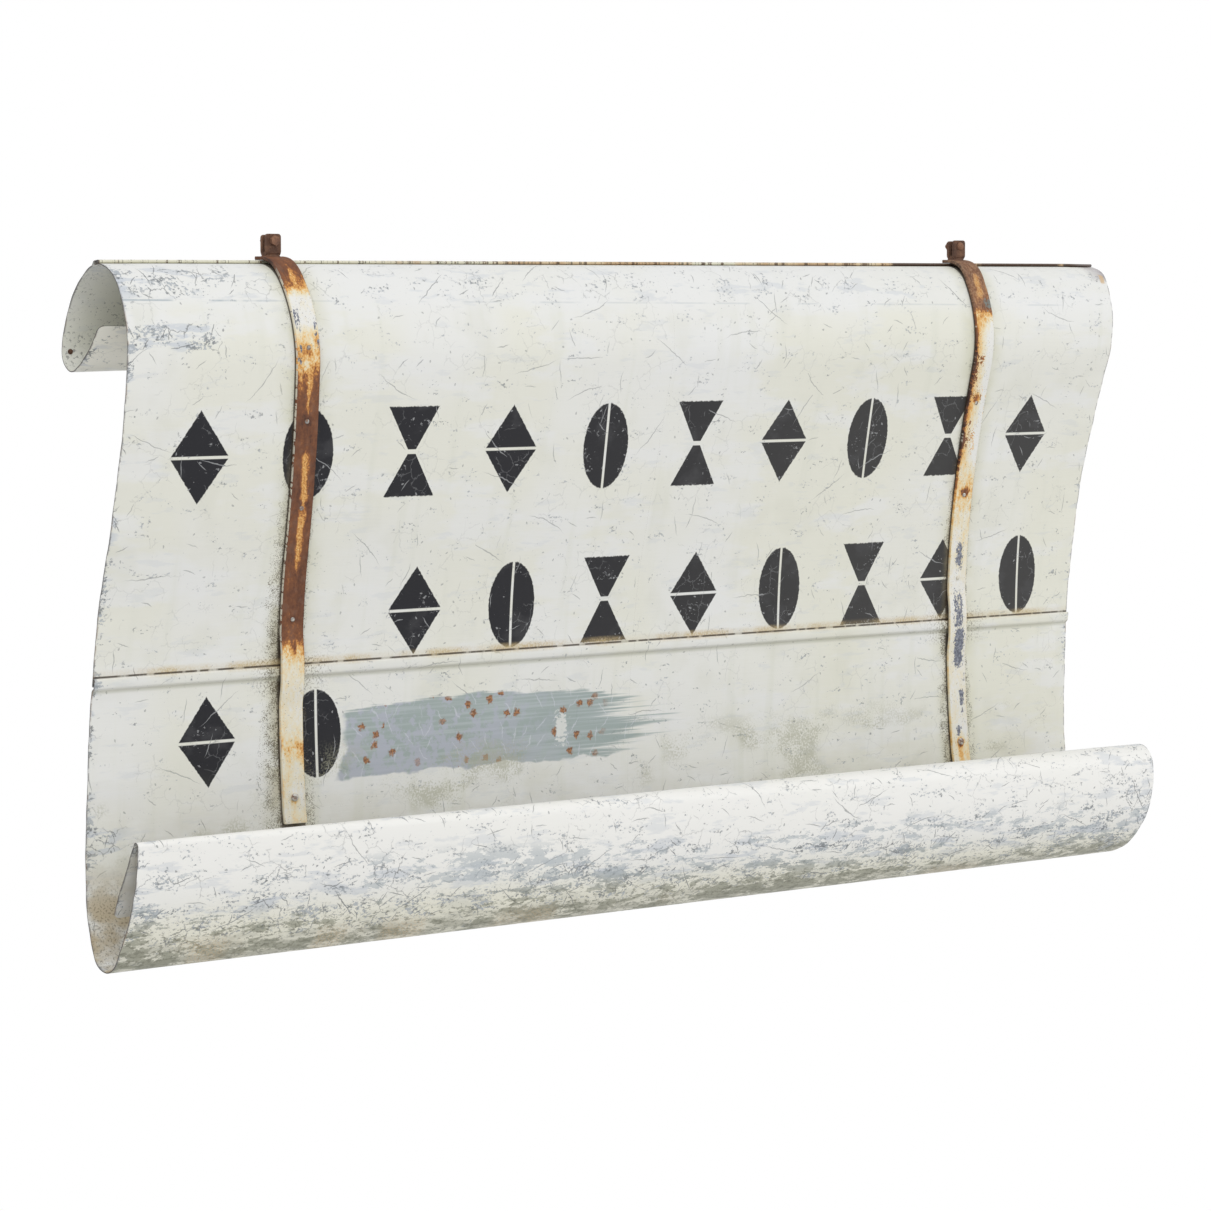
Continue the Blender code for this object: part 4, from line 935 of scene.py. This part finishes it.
def inner_and_rear_faces(f):
    """Specks inside the top roll, and greyed paint with rust runs behind the face."""
    inside = f.crest.rise(0.010, 0.060) * f.back
    specks = (f.grain(210.0, 250.0, 31.0, 4.0, 0.66) + f.grain(12.0, 20.0, 37.0) * 0.35).rise(0.795, 0.840)
    f.coat((0.80, 0.80, 0.72), inside * (0.30 + 0.40 * f.mottle.rise(0.35, 0.65)))
    f.coat((0.20, 0.20, 0.195), inside * specks * 0.65)
    rear = f.s.between(-0.33, 0.49, 0.02) * f.back
    f.coat((0.52, 0.53, 0.50), rear * (0.35 + 0.5 * f.grain(3.0, 3.0, 27.0).rise(0.40, 0.62)))
    runs = f.run_off.rise(0.56, 0.68) * (f.mottle * 0.6 + f.fine * 0.4).rise(0.48, 0.57)
    f.coat((0.30, 0.17, 0.09), rear * runs * 0.75)


def rubbed_corner(f):
    """The crown's right corner, rubbed to primer, with one ochre spot."""
    corner = (f.x - SIGN_LENGTH + (f.crest + 0.062) * 0.18).rise(-0.028, -0.004)
    corner = corner * f.crest.between(-0.036, -0.003, 0.006) * f.front
    f.coat((0.38, 0.345, 0.365), corner * (0.55 + 0.45 * f.mottle.rise(0.35, 0.60)) * 0.90)
    spot = abs((f.x - 1.4925) / 0.0038).larger(abs((f.crest + 0.034) / 0.0065))
    spot = spot + (f.mottle + f.fine - 1.0) * 1.2
    f.coat((0.64, 0.46, 0.27), spot.fall(0.7, 1.1) * f.front * 0.85)


def bare_edges(f):
    """Metal on the cut edges and, in places, beside them. Returns the cut edges."""
    cut = (f.side * (1 - f.side) * 4).rise(0.08, 0.40)
    rim = f.x.fall(0.0, 0.0022) + f.x.rise(SIGN_LENGTH - 0.0022, SIGN_LENGTH)
    metal = f.mix((0.17, 0.17, 0.18), (0.28, 0.20, 0.14), f.mottle.rise(0.50, 0.62))
    f.coat(metal, cut.larger(rim * f.grain(40.0, 70.0, 28.0).rise(0.40, 0.54) * 0.75))
    return cut


def make_panel_finish(paint, mark_paint):
    """Cream paint on sheet metal: clouded, scratched, chipped to bluish primer, and stained."""
    f = SheetFinish("weathered_paint")
    clouded_paint(f, paint)
    motif = stencilled_rows(f, mark_paint)
    flakes, breaks = worn_through(f, motif)
    overpainted_patch(f)
    halo = strap_dirt(f, motif)
    seam_line = stained_seam(f)
    rusty_crest(f)
    trough = silted_trough(f)
    blotted_roll(f)
    inner_and_rear_faces(f)
    rubbed_corner(f)
    cut = bare_edges(f)
    f.emboss(f.grain(5.0, 5.0, 29.0, 1.0), 0.0030)
    f.emboss(f.grain(22.0, 300.0, 30.0), 0.00012)
    pits = f.fine * halo.larger(trough) * 0.6
    f.emboss(motif * 0.3 + pits - flakes * 0.7 - breaks * 0.5 - seam_line, 0.00022)
    rough = 0.42 + 0.12 * f.mottle + 0.20 * flakes + 0.18 * halo + 0.25 * trough + 0.20 * cut
    return f.close(rough, specular=0.3)


class StrapFinish(Finish):
    """A strap's finish, over its width, the length down from the crest, and its thickness."""

    def __init__(self, name):
        super().__init__(name)
        self.across, self.down, self.up = self.place("strap_place")
        self.share = (self.down / STRAP_SPAN).larger(0.0)
        self.flat = self.vector(self.across, self.down, self.up)
        self.middle = 1 - abs(self.across / (STRAP_WIDTH / 2))
        self.broad = self.stretched(60, 26, 1.0, 3.0, 0.55)
        self.flaky = self.stretched(260, 130, 3.0, 4.0, 0.62)
        self.crumbs = self.stretched(520, 400, 5.0, 3.0, 0.6)
        self.fine = self.noise(self.flat, 300.0, 4.0, 0.62)

    def stretched(self, across, down, seed, detail, roughness):
        """Noise whose features are 1/across wide and 1/down long."""
        place = self.vector(self.across * across, self.down * down, seed)
        return self.noise(place, 1.0, detail, roughness)


def paint_left(f, right, paint_levels):
    """How much paint is left along the bar, plus noise, less at the edges."""
    kept = f.level(f.share, paint_levels)
    lop = f.across / (STRAP_WIDTH / 2) * f.down.between(0.09, 0.28, 0.015) * (0.30 if right else 0.0)
    changing = (1 - abs(kept - 0.55) * 2).larger(0.0)
    field = (kept + (f.broad - 0.5) * (0.25 + 0.85 * changing) + (f.flaky - 0.5) * (0.24 + 0.56 * changing)
             + (f.fine - 0.5) * (0.12 + 0.26 * changing) + (f.crumbs - 0.5) * (0.06 + 0.40 * changing)
             + lop - f.middle.fall(0.0, 0.10) * 0.16)
    if right:
        eaten = (f.crumbs * 0.30 + f.flaky * 0.30 + f.broad * 0.40 + f.middle.fall(0.0, 0.35) * 0.05
                 - f.across * 2.4).rise(0.535, 0.575)
        field = field - eaten * f.down.between(0.11, 0.30, 0.025) * 0.50
    return field


def orange_streak(f, right, streak_levels):
    """The flame of orange rust down the bar's middle, ragged and never above orange."""
    streak = f.level(f.share, streak_levels)
    narrow = 1 - abs((f.across - 0.0010 + (f.broad - 0.5) * 0.008) / (0.0100 if right else 0.0072))
    flame = streak + (narrow - 0.75) * 0.62 + (f.flaky - 0.5) * 0.90 + (f.crumbs - 0.5) * 0.45
    hottest = 0.56 + (f.crumbs - 0.5) * 0.55 + (f.fine - 0.5) * 0.35
    return (flame * narrow.rise(0.0, 0.15)).smaller(hottest)


def round_fixings(f, right, fixings):
    """How much further rust has gone in rings round the fixings and in a run under the last one."""
    nearest = abs(f.down - fixings[0])
    for distance in fixings[1:]:
        nearest = nearest.smaller(abs(f.down - distance))
    ring = (nearest * nearest + f.across * f.across).root()
    ring = (ring + (f.flaky - 0.5) * 0.008).fall(0.002, 0.010) * (0.38 if right else 0.12)
    run = abs(f.across + 0.001).fall(0.001, 0.007) * f.down.between(fixings[-1], fixings[-1] + 0.026, 0.004)
    return ring, run * (0.16 if right else 0.08)


def chipped_paint(f, right, chip_zones):
    """Blue-grey chips in the named zones, each low, high, place across, breadth and amount."""
    cover = 0.0
    for low, high, place, breadth, amount in chip_zones:
        here = f.down.between(low, high, 0.011) * abs(f.across - place).fall(breadth * 0.2, breadth * 1.6)
        cover = (here * amount).larger(cover)
    chips = (cover + (f.crumbs - 0.5) * 0.9 + (f.flaky - 0.5) * 1.7).rise(0.46, 0.54) * cover.rise(0.05, 0.20)
    primer = f.mix((0.115, 0.125, 0.165), (0.270, 0.285, 0.335), f.fine.rise(0.42, 0.60))
    if right:
        primer = f.mix(primer, (0.205, 0.215, 0.180), f.down.fall(0.078, 0.088) * 0.80)
    f.coat(primer, chips)
    return chips


def make_strap_finish(side, paint_levels, streak_levels, fixings, chip_zones):
    """Iron bar: one field runs from dark rust through orange to cream paint, read off a ramp."""
    f = StrapFinish(f"{side}_strap_rust_and_paint")
    right = side == "right"
    field = paint_left(f, right, paint_levels).larger(orange_streak(f, right, streak_levels))
    ring, run = round_fixings(f, right, fixings)
    field = field - ring - run
    f.tones(field, RUST_RAMP)
    if right:
        dull = (f.flaky * 0.5 + f.crumbs * 0.5).rise(0.42, 0.58)
        f.coat((0.42, 0.28, 0.17), f.down.fall(0.070, 0.084) * (0.10 + 0.42 * dull))
    dusty = f.noise(f.flat, 90.0, 3.0).rise(0.50, 0.66)
    f.coat((0.205, 0.108, 0.070), dusty * field.fall(0.36, 0.46) * 0.40)
    chips = chipped_paint(f, right, chip_zones)
    f.coat((0.075, 0.050, 0.035), f.noise(f.flat, 620.0, 2.0).rise(0.66, 0.72) * 0.7)
    flank = (-f.across).rise(0.0143, 0.0149) * f.up.rise(0.0002, 0.0006)
    painted = (f.flaky * 0.6 + f.fine * 0.4).fall(0.51, 0.56)
    if right:
        painted = (f.broad * 0.5 + f.flaky * 0.5).rise(0.57, 0.62)
    f.coat((0.70, 0.66, 0.54), flank * (painted * f.down.rise(0.02, 0.05)) * 0.85)
    # Painted shade: the strap's face against the sheet and the lowest millimetre of its sides are darkened
    # where shade falls between strap and sheet.
    f.coat((0.060, 0.040, 0.028), f.up.fall(0.0002, 0.0011) * 0.8)
    pitted = f.noise(f.flat, 700.0, 3.0, 0.6)
    relief = pitted * (0.25 + 0.75 * field.fall(0.40, 0.62)) + field.rise(0.46, 0.58) * 0.8 - chips * 0.7
    f.emboss(f.noise(f.flat, 60.0, 2.0), 0.0009)
    f.emboss(relief, 0.00032)
    return f.close(0.86 - 0.34 * field.rise(0.55, 0.85))


def make_iron_finish(name, brightness):
    """Bare rusted iron, darkest in the hollows of its noise."""
    f = Finish(name)
    place = f.object_place()
    broad = f.noise(place, 90.0, 3.0, 0.6)
    fine = f.noise(place, 420.0, 4.0, 0.65)
    pits = f.signal("ShaderNodeTexVoronoi", {}, {"Vector": place, "Scale": 900.0})
    f.tones(broad * 0.6 + fine * 0.4,
            [(stop, tuple(channel * brightness for channel in tone)) for stop, tone in IRON_RAMP])
    f.coat((0.30, 0.25, 0.20), fine.rise(0.62, 0.72) * 0.55)
    f.emboss(broad, 0.0010)
    f.emboss(fine - pits.fall(0.1, 0.5) * 0.4, 0.00035)
    return f.close(0.70 + 0.2 * fine, 0.25)


def make_steel_finish(name, brightness, painted=0.36):
    """Small fixings: dull steel that rust has crept over, and paint where the noise is under painted."""
    f = Finish(name)
    place = f.object_place()
    broad = f.noise(place, 260.0, 3.0)
    f.colour = tuple(channel * brightness for channel in STEEL)
    f.coat((0.22, 0.10, 0.045), broad.rise(0.46, 0.60) * 0.8)
    f.coat((0.66, 0.62, 0.52), broad.fall(painted, painted + 0.08) * 0.8)
    f.emboss(f.noise(place, 1100.0, 3.0), 0.00012)
    return f.close(0.38 + 0.4 * broad.rise(0.40, 0.60), 0.75 * broad.fall(0.46, 0.60))


def finish_nodes(material, names):
    """Give one finish to nodes that keep their shape."""
    for name in names:
        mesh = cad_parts[name].data
        for index in range(len(mesh.materials)):
            mesh.materials[index] = material


class SheetSettings(bpy.types.PropertyGroup):
    """Sizes and colours of the panels."""

    paint: FloatVectorProperty(name="Paint", description="Base colour of the cream paint", subtype="COLOR",
                               size=3, min=0.0, max=1.0, default=(0.790, 0.792, 0.764))
    mark_paint: FloatVectorProperty(name="Stencil paint", description="Colour of the stencilled marks",
                                    subtype="COLOR", size=3, min=0.0, max=1.0,
                                    default=(0.011, 0.011, 0.015))
    dent_depth: FloatProperty(name="Edge dents", description="Depth of the kinks along the cut ends",
                              unit="LENGTH", min=0.0, max=0.003, default=0.0011)


class StrapSettings(bpy.types.PropertyGroup):
    """Sizes of the straps."""

    edge_radius: FloatProperty(name="Worn edge", description="Radius of the straps' long edges",
                               unit="LENGTH", min=0.0002, max=0.0015, default=0.0008)


class StageSettings(bpy.types.PropertyGroup):
    """Floor, lamps and camera."""

    floor_drop: FloatProperty(name="Floor", description="Height of the floor under the hanging bolts",
                              unit="LENGTH", max=-1.0, default=-2.2)
    key_power: FloatProperty(name="Key light", description="Power of the large lamp", unit="POWER",
                             min=0.0, default=72.0)
    fill_power: FloatProperty(name="Fill light", description="Power of the second lamp", unit="POWER",
                              min=0.0, default=23.0)
    sky: FloatProperty(name="Sky", description="Strength of the even light from all round", min=0.0,
                       default=0.72)


class SIGN_OT_panels(bpy.types.Operator):
    """Build the three curved sheet panels"""

    bl_idname = "sign.panels"
    bl_label = "Sheet panels"

    def execute(self, context):
        settings = context.scene.sign_sheet
        material = make_panel_finish(tuple(settings.paint), tuple(settings.mark_paint))
        for node, path, front_first in (("roll_panel", roll_path, True), ("face_panel", face_path, False),
                                        ("tail_panel", tail_path, False)):
            piece = build_panel(f"{node}_sheet", path, front_first, settings.dent_depth)
            piece.data.materials.append(material)
            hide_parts(node)
            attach(piece, "sign")
        return {"FINISHED"}


class SIGN_OT_straps(bpy.types.Operator):
    """Build the two flat-bar straps"""

    bl_idname = "sign.straps"
    bl_label = "Straps"

    def execute(self, context):
        settings = context.scene.sign_strap
        for side, wear in STRAP_WEAR.items():
            piece = build_strap(side, settings.edge_radius)
            piece.data.materials.append(make_strap_finish(side, *wear))
            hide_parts(f"{side}_strap")
            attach(piece, "sign")
        return {"FINISHED"}


class SIGN_OT_hangers(bpy.types.Operator):
    """Finish the clevises, hanging bolts, nuts and washers"""

    bl_idname = "sign.hangers"
    bl_label = "Hangers"

    def execute(self, context):
        iron = make_iron_finish("rusted_iron", 1.0)
        finish_nodes(iron, ["left_clevis", "right_clevis", "roll_rivet"])
        names = [f"{side}_{part}" for side in STRAPS for part in ("bolt", "bolt_washer", "bolt_nut")]
        # Painted highlight: the bolts, washers and nuts get the same rusted iron 1.6 times lighter, standing
        # in for the glint on them.
        finish_nodes(make_iron_finish("bolt_iron_painted_highlight", 1.6), names)
        for side in STRAPS:
            bead = build_bead(side)
            bead.data.materials.append(iron)
            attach(bead, "sign")
        return {"FINISHED"}


class SIGN_OT_fixings(bpy.types.Operator):
    """Finish the rivets, their burrs, and the end screws and nuts"""

    bl_idname = "sign.fixings"
    bl_label = "Rivets and screws"

    def execute(self, context):
        names = [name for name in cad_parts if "rivet" in name and name != "roll_rivet"]
        finish_nodes(make_steel_finish("dull_fixing_steel", 0.75), names)
        finish_nodes(make_steel_finish("painted_fixing_steel", 0.75, 0.56), ["right_rivet_low"])
        finish_nodes(make_steel_finish("bright_fixing_steel", 1.2),
                     [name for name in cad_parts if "_end_" in name])
        return {"FINISHED"}


def add_lamp(name, place, turn, size, power):
    """A rectangular lamp, turned by angles in degrees."""
    data = bpy.data.lights.new(name, "AREA")
    data.shape = "RECTANGLE"
    data.size, data.size_y = size
    data.energy = power
    add_object(name, data, place, turn)


def camera_rays(tree):
    """1 for what the camera sees directly or in gloss or through glass."""
    path = add_node(tree, "ShaderNodeLightPath", {}, {})
    camera, gloss, glass = (Signal(tree, path.outputs[f"Is {name} Ray"])
                            for name in ("Camera", "Glossy", "Transmission"))
    return camera.larger(gloss).larger(glass)


class SIGN_OT_stage(bpy.types.Operator):
    """Add the floor, the lamps, the sky and the camera"""

    bl_idname = "sign.stage"
    bl_label = "Stage"

    def execute(self, context):
        settings = context.scene.sign_stage
        mesh = bpy.data.meshes.new("floor")
        corners = [(x * FLOOR_HALF, y * FLOOR_HALF, 0) for x, y in ((-1, -1), (1, -1), (1, 1), (-1, 1))]
        mesh.from_pydata(corners, [], [(0, 1, 2, 3)])
        mesh.materials.append(self.floor_finish())
        floor = add_object("floor", mesh, (0.0, 0.0, settings.floor_drop))
        add_lamp("key_lamp", *KEY_LAMP, settings.key_power)
        add_lamp("fill_lamp", *FILL_LAMP, settings.fill_power)
        self.sky(context.scene, settings.sky)
        data = bpy.data.cameras.new("camera")
        data.lens = CAMERA_LENS
        data.sensor_width = 36.0
        data.clip_end = 60.0
        context.scene.camera = add_object("camera", data, CAMERA_PLACE, CAMERA_TURN)
        context.scene.view_settings.view_transform = "Standard"
        return {"FINISHED"}

    def floor_finish(self):
        """Pale floor that keeps a shadow near the object and fades to white further out."""
        f = Finish("pale_floor")
        x, y, _ = f.parts(f.object_place())
        away = (x * x + y * y).root().rise(0.9, 2.6)
        feed(f.tree, f.shader.inputs["Base Color"], (0.86, 0.86, 0.86))
        feed(f.tree, f.shader.inputs["Roughness"], 0.9)
        glow = f.add("ShaderNodeEmission", {}, {"Color": (1.0, 1.0, 1.0), "Strength": 1.0})
        blend = f.add("ShaderNodeMixShader", {}, {0: away * camera_rays(f.tree),
                                                  1: f.shader.outputs["BSDF"], 2: glow.outputs["Emission"]})
        feed(f.tree, f.output.inputs["Surface"], blend.outputs[0])
        return f.material

    def sky(self, scene, strength):
        """An even sky: white to the camera, and of the given strength as light."""
        world = bpy.data.worlds.new("even_sky")
        world.use_nodes = True
        tree = world.node_tree
        sockets = tree.nodes["Background"].inputs
        feed(tree, sockets["Color"], (1.0, 1.0, 1.0))
        feed(tree, sockets["Strength"], camera_rays(tree) * (1.0 - strength) + strength)
        scene.world = world


class SIGN_PT_sidebar(bpy.types.Panel):
    """Lists the sign's pieces and their sizes"""

    bl_label = "Shop sign"
    bl_idname = "SIGN_PT_sidebar"
    bl_space_type = "VIEW_3D"
    bl_region_type = "UI"
    bl_category = "Sign"

    def draw(self, context):
        for group in (context.scene.sign_sheet, context.scene.sign_strap, context.scene.sign_stage):
            box = self.layout.box()
            for name in group.bl_rna.properties.keys():
                if name not in ("rna_type", "name"):
                    box.prop(group, name)
        for operator in OPERATORS:
            self.layout.operator(operator.bl_idname)


OPERATORS = (SIGN_OT_panels, SIGN_OT_straps, SIGN_OT_hangers, SIGN_OT_fixings, SIGN_OT_stage)
CLASSES = (SheetSettings, StrapSettings, StageSettings, *OPERATORS, SIGN_PT_sidebar)


def register():
    """Add the classes and the settings to Blender."""
    for item in CLASSES:
        bpy.utils.register_class(item)
    bpy.types.Scene.sign_sheet = PointerProperty(type=SheetSettings)
    bpy.types.Scene.sign_strap = PointerProperty(type=StrapSettings)
    bpy.types.Scene.sign_stage = PointerProperty(type=StageSettings)


def unregister():
    """Take the settings and the classes away again."""
    for name in ("sign_sheet", "sign_strap", "sign_stage"):
        delattr(bpy.types.Scene, name)
    for item in reversed(CLASSES):
        bpy.utils.unregister_class(item)


def main():
    """Build the stage and every piece."""
    register()
    bpy.ops.sign.stage()
    bpy.ops.sign.panels()
    bpy.ops.sign.straps()
    bpy.ops.sign.hangers()
    bpy.ops.sign.fixings()


if __name__ == "__main__":
    main()
